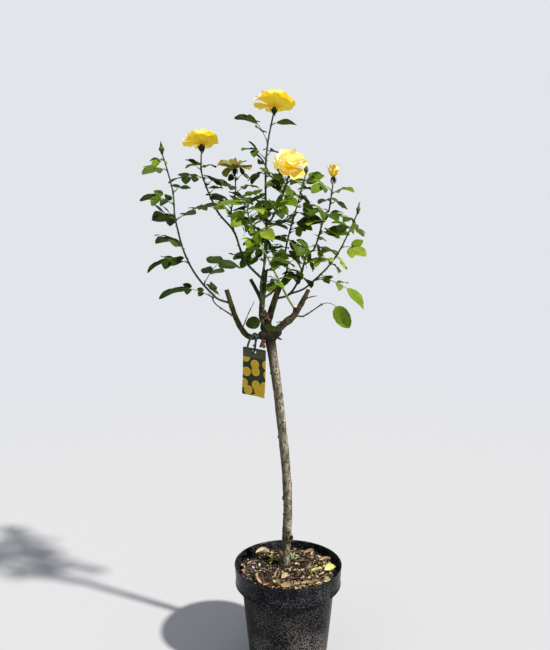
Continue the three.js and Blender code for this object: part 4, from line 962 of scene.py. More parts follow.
def bladeMarks(blade):
    # the corners of a blade's outline, its middle, and the points halfway between
    side = unit(np.cross(blade["along"], blade["face"]))
    width = blade["length"] * leafRule["aspect"]

    def point(share, across):
        return (
            blade["foot"] + blade["along"] * blade["length"] * share + side * width / 2 * across
            + blade["face"] * (blade["lift"] * abs(across) * width - blade["bow"] * blade["length"] * share**2)
        )

    outline = leafRule["outline"]
    rim = [point(s, a) for s, a in outline] + [point(1, 0)] + [point(s, -a) for s, a in outline[::-1]]
    middle = point(0.48, 0)
    return np.array([(blade["foot"] + middle) / 2, middle, *[(r + middle) / 2 for r in rim], *rim])


limbRoom = {}
leafRoom = {}


def takeLimb(name, points, radiusAt):
    # points along the limb, each with its radius, about as far apart as the rule says
    count = math.ceil(lengthOf(points) / leafRule["beadStep"])
    shares = np.linspace(0, 1, count + 1)
    beads = np.column_stack([curveAt(points, shares), radiusAt(shares)])
    limbRoom[name] = np.vstack([limbRoom[name], beads]) if name in limbRoom else beads


def isClear(marks, owner):
    # whether all marks keep their distance from the other limbs, and from the leaves of other canes
    for name, beads in limbRoom.items():
        if name == owner:
            continue
        gap = np.linalg.norm(marks[:, None] - beads[None, :, :3], axis=-1) - beads[:, 3]
        if gap.min() < leafRule["stemRoom"]:
            return False
    for name, taken in leafRoom.items():
        if name != owner and taken:
            others = np.concatenate(taken)
            if np.linalg.norm(marks[:, None] - others[None], axis=-1).min() < leafRule["elbowRoom"]:
                return False
    return True


def nearestOn(points, spot):
    # the point of the curve that lies nearest the spot
    marks = curveAt(points, np.linspace(0, 1, 121))
    return marks[np.argmin(np.linalg.norm(marks - np.asarray(spot), axis=1))]


def tapered(foot, tip):
    # a radius that runs straight from foot to tip
    return lambda share: foot + (tip - foot) * share


takeLimb("trunk", trunkSizes["course"], radiusOfTrunk)
limbRoom["trunk"] = np.vstack([limbRoom["trunk"], [[*centre, radius] for centre, radius in knobs]])
courses = {"trunk": trunkSizes["course"]}
for boughName, bough in boughs.items():
    courses[boughName] = bough["course"]
    takeLimb(boughName, bough["course"], tapered(bough["foot"], bough["tip"]))
    for spurFoot, spurTip, spurCourse in bough["spurs"]:
        takeLimb(boughName, spurCourse, tapered(spurFoot, spurTip))
for caneName, cane in canes.items():
    start = nearestOn(courses[cane["on"]], cane["course"][0])
    courses[caneName] = np.vstack([start, cane["course"][1:]])
    takeLimb(caneName, courses[caneName], tapered(cane["foot"], cane["tip"]))

# between the solids' leaves come smaller ones, in the thick of the crown
fineGrowth = {
    "seed": 900, "spacing": 15, "keepOff": 8, "middle": (-12, 20, 935), "reach": (122, 120, 135),
    "shares": (0.12, 0.97), "turn": 137.5, "turnSway": 30,
    "rises": (-18, 34), "lengths": (36, 66), "arches": (0.1, 0.3),
    # where sky shows through, as middles and reaches over x and z
    "sky": [((-86, 854), (50, 42)), ((-140, 900), (38, 40)), ((-88, 915), (26, 18))],
}


def tryLeaf(name, row, draw, lone, box=None, light=None):
    # a leaf stands where its stalk is clear, and bears the leaflets that are clear
    light = unit(np.array(light or canes[name].get("light", leafRule["light"])))
    plan = planLeaf(curveAt(courses[name], [row[0]])[0], row, draw, lone, light)
    stalk = np.array([leafAxes(plan, s * plan["seat"])[0] for s in leafRule["stalkMarks"]])
    if not isClear(stalk, name):
        return None
    kept = []
    for blade in plan["blades"]:
        marks = bladeMarks(blade)
        inside = box is None or (np.all(marks > box[0]) and np.all(marks < box[1]))
        if inside and isClear(marks, name):
            kept.append(blade)
    if box is not None and len(kept) < len(plan["blades"]):
        return None
    leafRoom[name].extend(bladeMarks(blade) for blade in kept)
    plan.update(blades=kept, cane=name, row=None)
    return plan


sprays = []
for caneName, cane in canes.items():
    draw = drawing(cane["seed"])
    leafRoom[caneName] = []
    for place, row in enumerate(cane["leaves"]):
        spray = tryLeaf(caneName, row, draw, len(cane["leaves"]) == 1)
        if spray:
            spray["row"] = place
            sprays.append(spray)
print(f"{len(sprays)} leaves stand where the solids have them")

# single blades that turn their faces to the front, in the same form as the canes' rows and with their light
frontLeaves = [
    ("cane_young", (0.985, 174, 2, 64, 0.12, 0), (0.15, -0.75, 0.65)),
    ("cane_young", (0.93, 186, -28, 36, 0.1, 0), (0.1, -0.9, 0.4)),
    ("cane_back_right", (0.9, -12, 28, 52, 0.1, 0), (0.2, -0.8, 0.55)),
    ("cane_right", (0.58, -14, 4, 62, 0.25, 0), (0.2, -0.85, 0.5)),
    ("cane_front", (0.8, 150, 14, 50, 0.15, 0), (0.2, -0.7, 0.7)),
    ("cane_left", (0.62, -165, 6, 44, 0.2, 0), (0.2, -0.6, 0.78)),
    ("cane_back_right", (0.6, -40, 8, 70, 0.15, 0), (0.2, -0.6, 0.75)),
    ("cane_far_right", (0.5, 160, 12, 54, 0.2, 0), (0.2, -0.65, 0.7)),
]

draw = drawing(fineGrowth["seed"])
box = (np.array(cadBox[0]) * 1000 + 2, np.array(cadBox[1]) * 1000 - 2)
for caneName, row, light in frontLeaves:
    spray = tryLeaf(caneName, row, draw, True, box, light)
    if spray:
        spray["row"] = "front"
        sprays.append(spray)
print(f"{len(sprays)} leaves with the single blades")

for caneName, cane in canes.items():
    draw = drawing(cane["seed"] + fineGrowth["seed"])
    long = lengthOf(courses[caneName])
    taken = [row[0] * long for row in cane["leaves"]]
    for step in range(2 * int(long / fineGrowth["spacing"])):
        share = draw(*fineGrowth["shares"])
        bearing = fineGrowth["turn"] * step + draw(-fineGrowth["turnSway"], fineGrowth["turnSway"])
        rise, size, arch = (draw(*fineGrowth[key]) for key in ("rises", "lengths", "arches"))
        foot = curveAt(courses[caneName], [share])[0]
        away = (foot - fineGrowth["middle"]) / fineGrowth["reach"]
        if np.sum(away**2) > 1 or min(abs(share * long - t) for t in taken) < fineGrowth["keepOff"]:
            continue
        turn = math.radians(bearing)
        spot = foot + 0.6 * size * np.array([math.cos(turn), math.sin(turn), math.tan(math.radians(rise))])
        if any(((spot[0] - c[0]) / r[0]) ** 2 + ((spot[2] - c[1]) / r[1]) ** 2 < 1 for c, r in fineGrowth["sky"]):
            continue
        spray = tryLeaf(caneName, (share, bearing, rise, size, arch), draw, False, box)
        if spray:
            taken.append(share * long)
            sprays.append(spray)
print(f"{len(sprays)} leaves with {sum(len(s['blades']) for s in sprays)} leaflets in all")


# Leaves

leafLook = {
    "stalkRadius": 0.95, "stalkTipRadius": 0.5, "stalkFoot": 1.7, "length": 1.08, "width": 1.2, "teeth": 0.045,
    "tones": (-1.0, 0.3, 1.5),  # where deep gives way to middle, middle to fresh and fresh to young
    # how much younger or older than the rest each cane's leaves look
    "ages": {
        "cane_young": 0.7, "shoot_head": -2.5, "cane_left": 0.3, "cane_second": 0.3, "cane_back_left": 0.2,
        "cane_top": -0.3,
    },
    # the tone of leaves that stand out, and the way that their blades turn their faces
    "picked": {
        ("cane_left", 7): 3, ("cane_left", 8): 2, ("shoot_head", 1): 0, ("cane_far_right", 0): 2,
        ("cane_low_right", 0): 2, ("cane_top", 11): 0, ("cane_top", 13): 0, ("cane_top", 14): 0,
        ("cane_low_left", 0): 0,
        ("cane_young", "front"): 2, ("cane_back_right", "front"): 2, ("cane_right", "front"): 1,
        ("cane_front", "front"): 2, ("cane_far_right", "front"): 2,
    },
    "facing": {
        ("cane_top", 11): (0, 0.1, 3.5), ("cane_top", 13): (0.1, -1.3, 0.5), ("cane_top", 14): (0, -1.7, 0.9),
        ("cane_low_right", 0): (0, 0, 0), ("shoot_head", 0): (0, -1.5, 0), ("cane_young", "front"): (0, -0.4, 0),
        ("cane_back_right", "front"): (0, -0.2, 0), ("cane_far_right", "front"): (0, -0.2, 0),
        ("cane_front", "front"): (0, -0.2, 0), ("cane_right", "front"): (0, 0, 0),
    },
    "settle": (0.05, 0, 0.35),  # and the way of all the others
    "broad": {"shoot_head": 1.35, "cane_low_right": 0.92},
    "short": {"cane_low_right": 0.88},
}


def leafTone(rng, spray):
    # 0 deep, 1 middle, 2 fresh, 3 young, dealt out by spray: fresher on the young cane,
    # lighter to the right and the front as painted light, and darker to the left and back as painted shade
    score = 0.75 * rng.normal() + 0.006 * (spray["tip"][0] + 30) - 0.004 * spray["tip"][1]
    score += leafLook["ages"].get(spray["cane"], 0)
    return leafLook["picked"].get((spray["cane"], spray["row"]), int(np.searchsorted(leafLook["tones"], score)))


def turnedFace(blade, wanted):
    # the face drawn towards a wanted way, kept square to the blade
    mixed = blade["face"] + np.array(wanted)
    return unit(mixed - blade["along"] * (mixed @ blade["along"]))


def growLeaves(look):
    # every spray's stalk, leaflets and the two small ears at its foot
    leaves, stalks = emptyHeap(), emptyHeap()
    rng = np.random.default_rng(5)
    rows, ears = [], []
    for spray in sprays:
        cane, tone = spray["cane"], leafTone(rng, spray)
        reach = spray["seat"] if spray["blades"] else 0.5
        path = np.array([leafAxes(spray, s)[0] for s in np.linspace(0, reach, 8)])
        girth = np.linspace(look["stalkRadius"], look["stalkTipRadius"], 8)
        girth[0] *= look["stalkFoot"]
        sweep(stalks, path, girth, 6, 1 if cane == "cane_young" or tone == 3 else 0)
        wanted = look["facing"].get((cane, spray["row"]), look["settle"])
        for blade in spray["blades"]:
            face = spin(turnedFace(blade, wanted), blade["along"], rng.uniform(-0.2, 0.2))
            long = blade["length"] * rng.uniform(0.97, 1.03) * look["length"] * look["short"].get(cane, 1)
            bow, lift = blade["bow"] * rng.uniform(0.8, 1.25), blade["lift"] * rng.uniform(0.7, 1.5)
            own = np.clip(tone + rng.choice([-1, 0, 0, 0, 1]), 0, max(tone, 2))
            wide = long * look["broad"].get(cane, 1) * leafRule["aspect"] * look["width"]
            curl = rng.uniform(-0.16, 0.1)
            rows.append((blade["foot"], blade["along"], face, long, wide, bow, lift, int(own), curl))
        at, along, side, face = leafAxes(spray, 0.02)
        for hand in (1, -1):
            ears.append((at, along * 0.95 + side * hand * 0.32, face, rng.uniform(8, 12), min(tone + 1, 3)))
    *blades, curls = (np.array(column) for column in zip(*rows))
    bladeGrid(leaves, *blades, teeth=look["teeth"], curl=curls)
    feet, along, faces, lengths, tones = (np.array(column) for column in zip(*ears))
    widths, bow, lift = lengths * 0.26, -0.1, 0.3
    bladeGrid(leaves, feet, along, faces, lengths, widths, bow, lift, tones, rows=5, columns=3, teeth=0, rib=False)
    return leaves, stalks


# each green as dark and light colour, colour of the underside, and roughness; then the ribs' greens in the same order
leafColours = {
    "leafDeep": ((0.008, 0.02, 0.001), (0.026, 0.05, 0.002), (0.034, 0.055, 0.005), 0.5),
    "leafMiddle": ((0.040, 0.082, 0.004), (0.088, 0.155, 0.009), (0.075, 0.125, 0.011), 0.48),
    "leafFresh": ((0.105, 0.185, 0.007), (0.18, 0.275, 0.014), (0.15, 0.235, 0.018), 0.5),
    "leafYoung": ((0.21, 0.29, 0.018), (0.32, 0.40, 0.035), (0.24, 0.33, 0.045), 0.5),
    "ribDeep": ((0.035, 0.07, 0.012), (0.06, 0.10, 0.02), (0.05, 0.09, 0.03), 0.5),
    "ribMiddle": ((0.09, 0.16, 0.022), (0.13, 0.21, 0.035), (0.10, 0.17, 0.05), 0.5),
    "ribFresh": ((0.2, 0.3, 0.045), (0.28, 0.38, 0.06), (0.2, 0.3, 0.08), 0.5),
    "ribYoung": ((0.34, 0.42, 0.08), (0.44, 0.5, 0.11), (0.3, 0.4, 0.12), 0.5),
}
leafHeap, stemHeap = growLeaves(leafLook)
leafMaterials = [
    mottled(name, low, high, 120, 0.12, roughness=rough, depth=0.0007, specular=0.09, underside=below)
    for name, (low, high, below, rough) in leafColours.items()
]
masses = list(canes)  # the nodes that the leafy pieces replace together
setDown("leafSprays", meshFrom("leafSprays", leafHeap), leafMaterials, masses)


# Canes and their prickles

stemLook = {
    "girth": 0.94, "step": 3, "nodeSwell": 0.45, "nodeReach": 2.6, "footSwell": 0.9, "footReach": 5,
    "sway": 0.9, "swaySize": 34, "tones": {"cane_young": 1, "cane_low_left": 2, "cane_short": 2},
    "prickleEvery": 13, "prickleSpan": (0.04, 0.93), "prickleLengths": (2.6, 5.0), "prickleRadii": (0.8, 1.3),
    "hook": -0.42,
}


def growStems(heap, look):
    # each cane as a tube that tapers, swells at its leaves and foot and sways by noise, with hooked prickles
    rng = np.random.default_rng(17)
    rows = []
    for name, cane in canes.items():
        course, radiusAt = courses[name], tapered(cane["foot"], cane["tip"])
        long = lengthOf(course)
        shares = np.linspace(0, 1, int(long / look["step"]) + 4)
        path = curveAt(course, shares)
        girth = radiusAt(shares) * look["girth"]
        girth = girth + look["footSwell"] * np.exp(-((shares * long) / look["footReach"]) ** 2)
        for row in cane["leaves"]:
            girth = girth + look["nodeSwell"] * np.exp(-(((shares - row[0]) * long) / look["nodeReach"]) ** 2)
        size = look["swaySize"]
        sway = np.stack([noiseAt(path, size, 3), noiseAt(path, size, 5), np.zeros(len(path))], -1)
        path = path + sway * (look["sway"] * ease(0, 0.1, shares) * (1 - ease(0.9, 1, shares)))[:, None]
        sweep(heap, path, girth, 9, look["tones"].get(name, 0))
        count = int(long / look["prickleEvery"])
        spots = np.sort(rng.uniform(*look["prickleSpan"], count))
        at = curveAt(course, spots)
        tangents = unit(curveAt(course, np.minimum(spots + 0.01, 1)) - at)
        out = unit(np.cross(tangents, rng.normal(size=(count, 3))))
        lengths = rng.uniform(*look["prickleLengths"], count) * (0.7 + 0.15 * cane["foot"])
        radii = rng.uniform(*look["prickleRadii"], count)
        rows.append((at + out * radiusAt(spots)[:, None] * 0.7, out, look["hook"] * tangents, lengths, radii))
    prickles = emptyHeap()
    thorns(prickles, *(np.concatenate(column) for column in zip(*rows)))
    return prickles


prickleHeap = growStems(stemHeap, stemLook)
stemMaterials = finishes([
    ("caneGreen", (0.018, 0.035, 0.011), (0.06, 0.085, 0.026), {"roughness": 0.45, "relief": 0.3}),
    ("caneYoung", (0.15, 0.23, 0.045), (0.27, 0.34, 0.09), {"grain": 0.2, "roughness": 0.42}),
    ("caneBrown", (0.045, 0.035, 0.018), (0.12, 0.09, 0.045), {"grain": 0.3, "relief": 0.4, "specular": 0.3}),
], scale=70, grain=0.25, stretch=(1, 1, 0.3), roughness=0.6, relief=0.25, specular=0.4)
setDown("caneStems", meshFrom("caneStems", stemHeap), stemMaterials, masses)
prickleBrown = mottled("prickleBrown", (0.13, 0.06, 0.03), (0.3, 0.16, 0.08), 150, 0.2, roughness=0.5, relief=0.2)
setDown("prickles", meshFrom("prickles", prickleHeap), [prickleBrown], masses)


# Flowers

# whorls from the heart outwards: count, slope from the flower's axis at foot and edge, length and width
# as shares of the flower's size, cup across, how far the edge rolls back, and tone. sepals: count, length,
# width and slope. stamens: count and greatest slope
flowerKinds = {
    "open": {
        "hip": 4.4, "throat": 1.5, "upright": False, "depth": 0.56, "slack": 0.14, "ruffle": 1.5, "skirt": 1.7,
        "whorls": [
            (4, 0.02, 0.12, 0.37, 0.24, 1.6, 0.3, 6), (5, 0.22, 0.32, 0.42, 0.34, 1.3, 0.8, 6),
            (6, 0.45, 0.6, 0.45, 0.4, 1.0, 1.0, 5), (6, 0.72, 0.9, 0.47, 0.46, 0.8, 1.0, 5),
            (5, 1.0, 1.22, 0.49, 0.56, 0.6, 0.7, 0), (5, 1.24, 1.52, 0.5, 0.6, 0.4, 0.4, 0),
        ],
        "sepals": (5, 18, 6.2, 3.42), "stamens": (46, 0.4),
    },
    "spent": {
        "hip": 4.4, "throat": 1.5, "upright": False, "depth": 0.42, "slack": 0.24, "ruffle": 2, "skirt": 1.3,
        "whorls": [(4, 0.9, 1.35, 0.4, 0.36, 0.5, 0.3, 3), (5, 1.25, 1.66, 0.5, 0.46, 0.4, 0.25, 3)],
        "sepals": (5, 16, 5.0, 3.1), "stamens": (46, 0.75),
    },
    "half": {
        "hip": 3.6, "throat": 1.5, "upright": True, "slack": 0.3, "ruffle": 3.2, "skirt": 1.0,
        "whorls": [
            (5, 0.3, -0.15, 0.96, 0.24, 1.5, 0.2, 6), (6, 0.85, -0.4, 0.95, 0.28, 1.2, 0.7, 2),
            (7, 1.3, -0.5, 0.88, 0.3, 1.0, 1.1, 5), (6, 1.6, -0.4, 0.7, 0.28, 0.8, 1.2, 1),
        ],
        "sepals": (5, 13, 5.0, 2.9), "stamens": (0, 0),
    },
    "bud": {
        "hip": 3.0, "throat": 1.5, "upright": True, "slack": 0, "ruffle": 0, "skirt": 0, "whorls": [],
        "sepals": (5, 15, 3.4, 0.2), "stamens": (0, 0),
    },
}
petalTuck = 0.17  # one side of each petal lies under its neighbour
# the hip's outline in shares of its radius, and a bud's in shares of its width and height
hipOutline = np.array([(0, -1), (0.45, -0.9), (0.9, -0.2), (1.02, 0.5), (0.9, 1.1), (0.7, 1.5), (0, 1.55)])
budOutline = [(0.57, 0.36), (0.5358, 0.5), (0.3762, 0.66), (0.1596, 0.82), (0, 0.88)]


def petalSheet(heap, foot, axis, out, size, depth, petal, draw, ruffle=1):
    # over a across and v up: the slope from the axis runs from start to lean and rolls back at the edge,
    # radius and rise are running sums of its sine and cosine, and across it is wrapped by its cup
    start, lean, long, wide, cup, curl, tone = petal
    rows, columns, steps = 11, 8, 40
    a = np.linspace(-1, 1, columns)[None, :]
    v = np.linspace(0, 1, rows)[:, None] * (1 - 0.17 * np.abs(a) ** 2.6 - 0.05 * np.exp(-((a / 0.22) ** 2)))
    s = np.linspace(0, 1, steps + 1)
    slope = start + (lean - start) * s + curl * ease(0.62, 1.0, s) * draw(0.5, 1.3)
    length = long * size
    outward, climb = (np.concatenate([[0], np.cumsum(way(slope[:-1]))]) * length / steps for way in (np.sin, np.cos))
    half = wide * size / 2 * (0.32 + 0.68 * np.sin(np.minimum(v / 0.72, 1) * math.pi / 2))
    beside, inward = half * np.sin(a * cup) / cup, half * (1 - np.cos(a * cup)) / cup
    phase = draw(0, 6.28)
    wave = ruffle * draw(0.015, 0.04) * length * np.sin(2.2 * math.pi * a + phase) * v**3
    push, here = petalTuck * beside + wave - inward, np.interp(v, s, slope)
    radius = 0.02 * size + np.interp(v, s, outward) + push * np.cos(here)
    rise = np.interp(v, s, climb) - push * np.sin(here)
    tangent = np.cross(axis, out)
    points = foot + axis * (depth * rise)[..., None] + out * radius[..., None] + tangent * beside[..., None]
    tones = np.full((rows - 1, columns - 1), tone)
    if tone < 3:  # deeper at the foot and lighter at the edge
        tones[: rows // 3] = min(tone + 1, 2)
        tones[-1:] = max(tone - 1, 0)
    if tone == 5:
        tones[: rows // 3] = 6
    pour(heap, points, gridQuads(rows, columns, flip=True), tone=tones.ravel())


def draws(draw, count, low, high):
    return np.array([draw(low, high) for _ in range(count)])


def growFlowers():
    # on each cane's tip a hip, its whorls of petals, sepals, and stamens where it is open
    petals, greens, hairs = emptyHeap(), emptyHeap(), emptyHeap()
    for name, cane in canes.items():
        if "flower" not in cane:
            continue
        kind, width, height, facing = cane["flower"]
        style = flowerKinds[kind]
        draw = drawing(cane["seed"] + 500)
        axis = unit(np.array(facing, float))
        first = unit(np.cross((1.0, 0.0, 0.0), axis))
        foot, hip = courses[name][-1], style["hip"]
        lathe(greens, hipOutline * hip, 14, foot=foot, axis=axis)
        crown = foot + axis * hip * style["throat"]
        size = height if style["upright"] else width
        depth = 1 if style["upright"] else height / (style["depth"] * width)
        turn = 0.0
        for count, start, lean, long, wide, cup, curl, tone in style["whorls"]:
            turn += draw(0.3, 0.9)
            for i in range(count):
                azimuth = turn + 2 * math.pi * i / count + draw(-0.14, 0.14)
                sway = draw(-style["slack"], style["slack"])
                own = long * draw(0.93, 1.03), wide * draw(0.92, 1.08)
                petal = (start + 0.5 * sway, lean + sway, *own, cup, curl, tone)
                petalSheet(petals, crown, axis, spin(first, axis, azimuth), size, depth, petal, draw, style["ruffle"])
        for azimuth, *petal in cane.get("loose", []):
            petalSheet(petals, crown, axis, spin(first, axis, azimuth), size, 1, petal, draw)
        count, long, wide, dip = style["sepals"]
        azimuths = 2 * math.pi * np.arange(count) / count + draws(draw, count, -0.2, 0.2)
        out = spin(np.broadcast_to(first, (count, 3)), axis, azimuths)
        if kind == "bud":
            # a green egg whose sepals lie close and end in spikes past its tip
            egg = [(0, hip), (0.3876 * width, 1.3 * hip), *((r * width, z * height) for r, z in budOutline)]
            lathe(greens, egg, 16, foot=foot, axis=axis, tone=1)
            dips = draws(draw, count, -0.3, -0.16)
            lengths = height * draws(draw, count, 0.7, 1.15)
            base = foot + out * width * 0.5 + axis * height * 0.3
            bow, lift, outwards = 0.1, -0.3, 1
        else:
            dips = dip + draws(draw, count, -0.22, 0.1)
            lengths = long * draws(draw, count, 0.85, 1.2)
            base = crown + out * hip * style["skirt"] - axis * hip * 0.2
            bow, lift, outwards = 0.25, 0.2, -1
        sine, cosine = np.sin(dips)[:, None], np.cos(dips)[:, None]
        along, faces = out * sine + axis * cosine, outwards * (out * cosine - axis * sine)
        bladeGrid(greens, base, along, faces, lengths, wide, bow, lift, 0, rows=9, teeth=0, rib=False)
        number, splay = style["stamens"]
        if number:
            out = spin(np.broadcast_to(first, (number, 3)), axis, draws(draw, number, 0, 6.28))
            tilt = draws(draw, number, 0.1, splay)[:, None]
            aim = unit(axis * np.cos(tilt) + out * np.sin(tilt))
            lengths = draws(draw, number, 7, 12)
            bases = crown + out * 1.5
            thorns(hairs, bases, aim, 0.15 * out, lengths, np.full(number, 0.28))
            tips = bases + (aim + 0.15 * out) * lengths[:, None]
            lumps(hairs, tips, np.full(number, 0.85), np.random.default_rng(cane["seed"]), 1)
    return petals, greens, hairs


# each petal tone as dark and light colour, colour of the underside, and the colour of a painted glow for the light that
# comes through
petalColours = {
    # the undersides of the lemon, yellow and gold tones are deep golden, partly painted shade of the outer petals; the
    # heart tones' pale undersides are painted light
    "petalLemon": ((0.90, 0.82, 0.34), (0.98, 0.92, 0.56), (0.90, 0.66, 0.03), (0.95, 0.68, 0.03)),
    "petalYellow": ((0.88, 0.76, 0.24), (0.96, 0.86, 0.40), (0.74, 0.49, 0.012), (0.9, 0.56, 0.01)),
    "petalGold": ((0.82, 0.62, 0.10), (0.9, 0.73, 0.2), (0.50, 0.31, 0.006), (0.7, 0.38, 0.005)),
    # the spent and faded tones are dull olive, and darkened further as painted shade
    "petalSpentShaded": ((0.16, 0.15, 0.022), (0.245, 0.23, 0.05), (0.185, 0.17, 0.018), (0.19, 0.17, 0.02)),
    "petalFadedShaded": ((0.13, 0.115, 0.02), (0.2, 0.18, 0.035), (0.14, 0.125, 0.015), (0.15, 0.13, 0.015)),
    "petalHeart": ((0.94, 0.87, 0.42), (1.0, 0.95, 0.64), (0.96, 0.88, 0.46), (0.95, 0.8, 0.25)),
    "petalHeartDeep": ((0.88, 0.76, 0.22), (0.95, 0.85, 0.36), (0.88, 0.75, 0.26), (0.9, 0.68, 0.1)),
}
petalHeap, greenHeap, hairHeap = growFlowers()
petalMaterials = [
    mottled(name, low, high, 60, 0, roughness=0.6, relief=0.06, depth=0.0006, specular=0.2, underside=below, paintedGlow=paintedGlow)
    for name, (low, high, below, paintedGlow) in petalColours.items()
]
setDown("petals", meshFrom("petals", petalHeap), petalMaterials, masses)
sepalMaterials = [
    mottled("sepalGreen", (0.010, 0.024, 0.005), (0.035, 0.062, 0.013), 110, 0.3, roughness=0.6, relief=0.25,
            specular=0.15, underside=(0.035, 0.06, 0.015)),
    mottled("budGreen", (0.04, 0.085, 0.012), (0.10, 0.15, 0.022), 140, 0.15, roughness=0.5, relief=0.2, specular=0.2),
]
setDown("sepalsAndHips", meshFrom("sepalsAndHips", greenHeap), sepalMaterials, masses)
stamenMaterials = finishes([
    ("filament", (0.55, 0.4, 0.1), (0.7, 0.55, 0.2), {"scale": 100, "roughness": 0.6}),
    ("anther", (0.10, 0.05, 0.02), (0.24, 0.13, 0.04), {"scale": 200}),
], grain=0.1, relief=0.1)
setDown("stamens", meshFrom("stamens", hairHeap), stamenMaterials, masses)


# Trunk and boughs with bark relief

barkLook = {
    "trunkVoxel": 0.00105, "boughVoxel": 0.00075,
    "crackSize": (2.2, 2.2, 13.0), "crackDepth": 0.42, "grainDepth": 0.2, "lumpDepth": 0.35, "lenticels": 0.7,
    "graftLumps": 16, "graftMiddle": (-42, 3, 697), "graftReach": (15, 11, 15),
    "callusLumps": 44, "callusMiddle": (-49, -7, 738), "callusReach": (5.6, 2, 8),
}


def melted(name, heap, voxel, rounds):
    # overlapping parts become one skin, its creases eased
    def addModifiers(holder):
        skin = holder.modifiers.new("skin", "REMESH")
        skin.mode, skin.voxel_size = "VOXEL", voxel
        easing = holder.modifiers.new("ease", "SMOOTH")
        easing.iterations, easing.factor = rounds, 0.5

    return finishedMesh(name, meshFrom(name, heap), addModifiers)


def roughened(mesh, strength, seed, look):
    # each point moved along its normal by long cracks, fine grain, broad lumps and raised dots, all from noise
    places, normals = readOut(mesh.vertices, "co") * 1000, readOut(mesh.vertex_normals, "vector")
    cracks = -np.abs(noiseAt(places, look["crackSize"], seed)) ** 0.7 + 0.35
    grain = noiseAt(places, 1.6, seed + 1)
    broad = noiseAt(places, (7, 7, 11), seed + 2)
    dots = np.maximum(noiseAt(places, (2.4, 2.4, 1.8), seed + 3) - 0.45, 0) * 2
    push = look["crackDepth"] * cracks + look["grainDepth"] * grain + look["lumpDepth"] * broad
    places += normals * (strength * (push + look["lenticels"] * dots))[:, None]
    mesh.vertices.foreach_set("co", (places * 0.001).ravel())
    mesh.polygons.foreach_set("use_smooth", np.full(len(mesh.polygons), True))
    mesh.update()
    return mesh


def stainSpots(mesh, spots):
    # faces within reach of a spot, and turned its way where a way is given, take its material
    centres, normals = readOut(mesh.polygons, "center") * 1000, readOut(mesh.polygons, "normal")
    tones = np.zeros(len(centres), np.int32)
    for centre, reach, way, tone in spots:
        near = np.linalg.norm(centres - np.array(centre), axis=1) < reach
        if way is not None:
            near &= normals @ unit(np.array(way, float)) > 0.55
        tones[near] = tone
    mesh.polygons.foreach_set("material_index", tones)
    return mesh


# middle, reach, way and tone of each stain
trunkStains = [
    ((6.5, 8, 251), 5.6, None, 1), ((2, 10, 262), 3.0, None, 1), ((-54, -8, 674), 10, None, 2),
    ((-55, -8, 664), 5, None, 3), ((-31, -8, 640), 4, None, 1), ((-12, 1, 505), 3.4, None, 1),
    # the dark stain at height 334 is painted shade at the nick at 337
    ((-12, 13, 334), 2.8, None, 1), ((-30, -3, 590), 2.6, None, 1), ((-6, 3, 420), 2.4, None, 1),
    ((6, 9, 292), 2.2, None, 1), ((-10, 12, 300), 2.6, None, 1),
]
boughStains = {
    "bough_left": [((-130, -10, 788), 6.5, (-0.3, 0, 1), 1)],
    "bough_centre": [((-48, -5, 830), 7, (0, 0, 1), 1), ((-80, 5, 811), 5.5, (-0.5, 0, 1), 1)],
    "bough_middle": [((-17, 25, 802), 8, (0.3, 0, 1), 1)],
    "bough_right": [((14, -25, 753), 5.2, (0, -0.4, 1), 2), ((42, -20, 788), 6, (0.3, 0, 1), 2)],
}
# old buds and healed nicks at the stem's sides as height, side and size, and a torn flap of bark as spots and sizes
trunkNicks = [(371, 1, 3.2), (337, -1, 3.8), (560, 1, 2.8), (470, -1, 3.0), (610, -1, 3.2), (300, -1, 2.6)]
trunkFlap = [((-52, -6, 679), 5), ((-55, -7, 673), 5), ((-52, -8, 668), 4.4), ((-58, -7, 668), 3.4)]


def growTrunk(look):
    # the solids' tube above the soil with three faint ribs, and the knobs, scars and nicks that melt into it
    heap = emptyHeap()
    shares = np.linspace(0, 1, 130)
    path = curveAt(trunkSizes["course"], shares)
    keep = path[:, 2] > 178
    sides = 28
    ribs = 1 + 0.05 * np.sin(3 * around(sides) + 5 * shares[:, None]) * (1 - ease(0, 0.12, shares))[:, None]
    sweep(heap, path[keep], (radiusOfTrunk(shares)[:, None] * ribs)[keep], sides)
    rng = np.random.default_rng(9)
    for centre, radius in knobs:
        ball(heap, centre, radius, 11, 18)
    for _ in range(look["graftLumps"]):  # small callus lumps on the graft head
        way = unit(rng.normal(size=3) * (1, 1, 0.7))
        ball(heap, np.array(look["graftMiddle"]) + way * look["graftReach"], rng.uniform(2.6, 5.2))
    snag = curveAt([(-27, 0, 688), (-20, -2, 685), (-13, -4, 682)], np.linspace(0, 1, 6))
    sweep(heap, snag, np.linspace(3, 1.4, 6), 10)
    for turn in around(9):  # a rolled lip round the scar of a cut shoot
        spot = (5.4 + 4.2 * math.cos(turn), 9.5 + 2.6 * math.cos(turn), 251 + 5.5 * math.sin(turn))
        ball(heap, spot, rng.uniform(2.2, 3.4))
    for height, side, size in trunkNicks:
        at = path[np.argmin(np.abs(path[:, 2] - height))]
        ball(heap, at + (side * 8.4, -2.5, 0), size, tall=1.5)
    for spot, size in trunkFlap:
        ball(heap, spot, size)
    return stainSpots(roughened(melted("trunkRaw", heap, look["trunkVoxel"], 2), 1.0, 11, look), trunkStains)


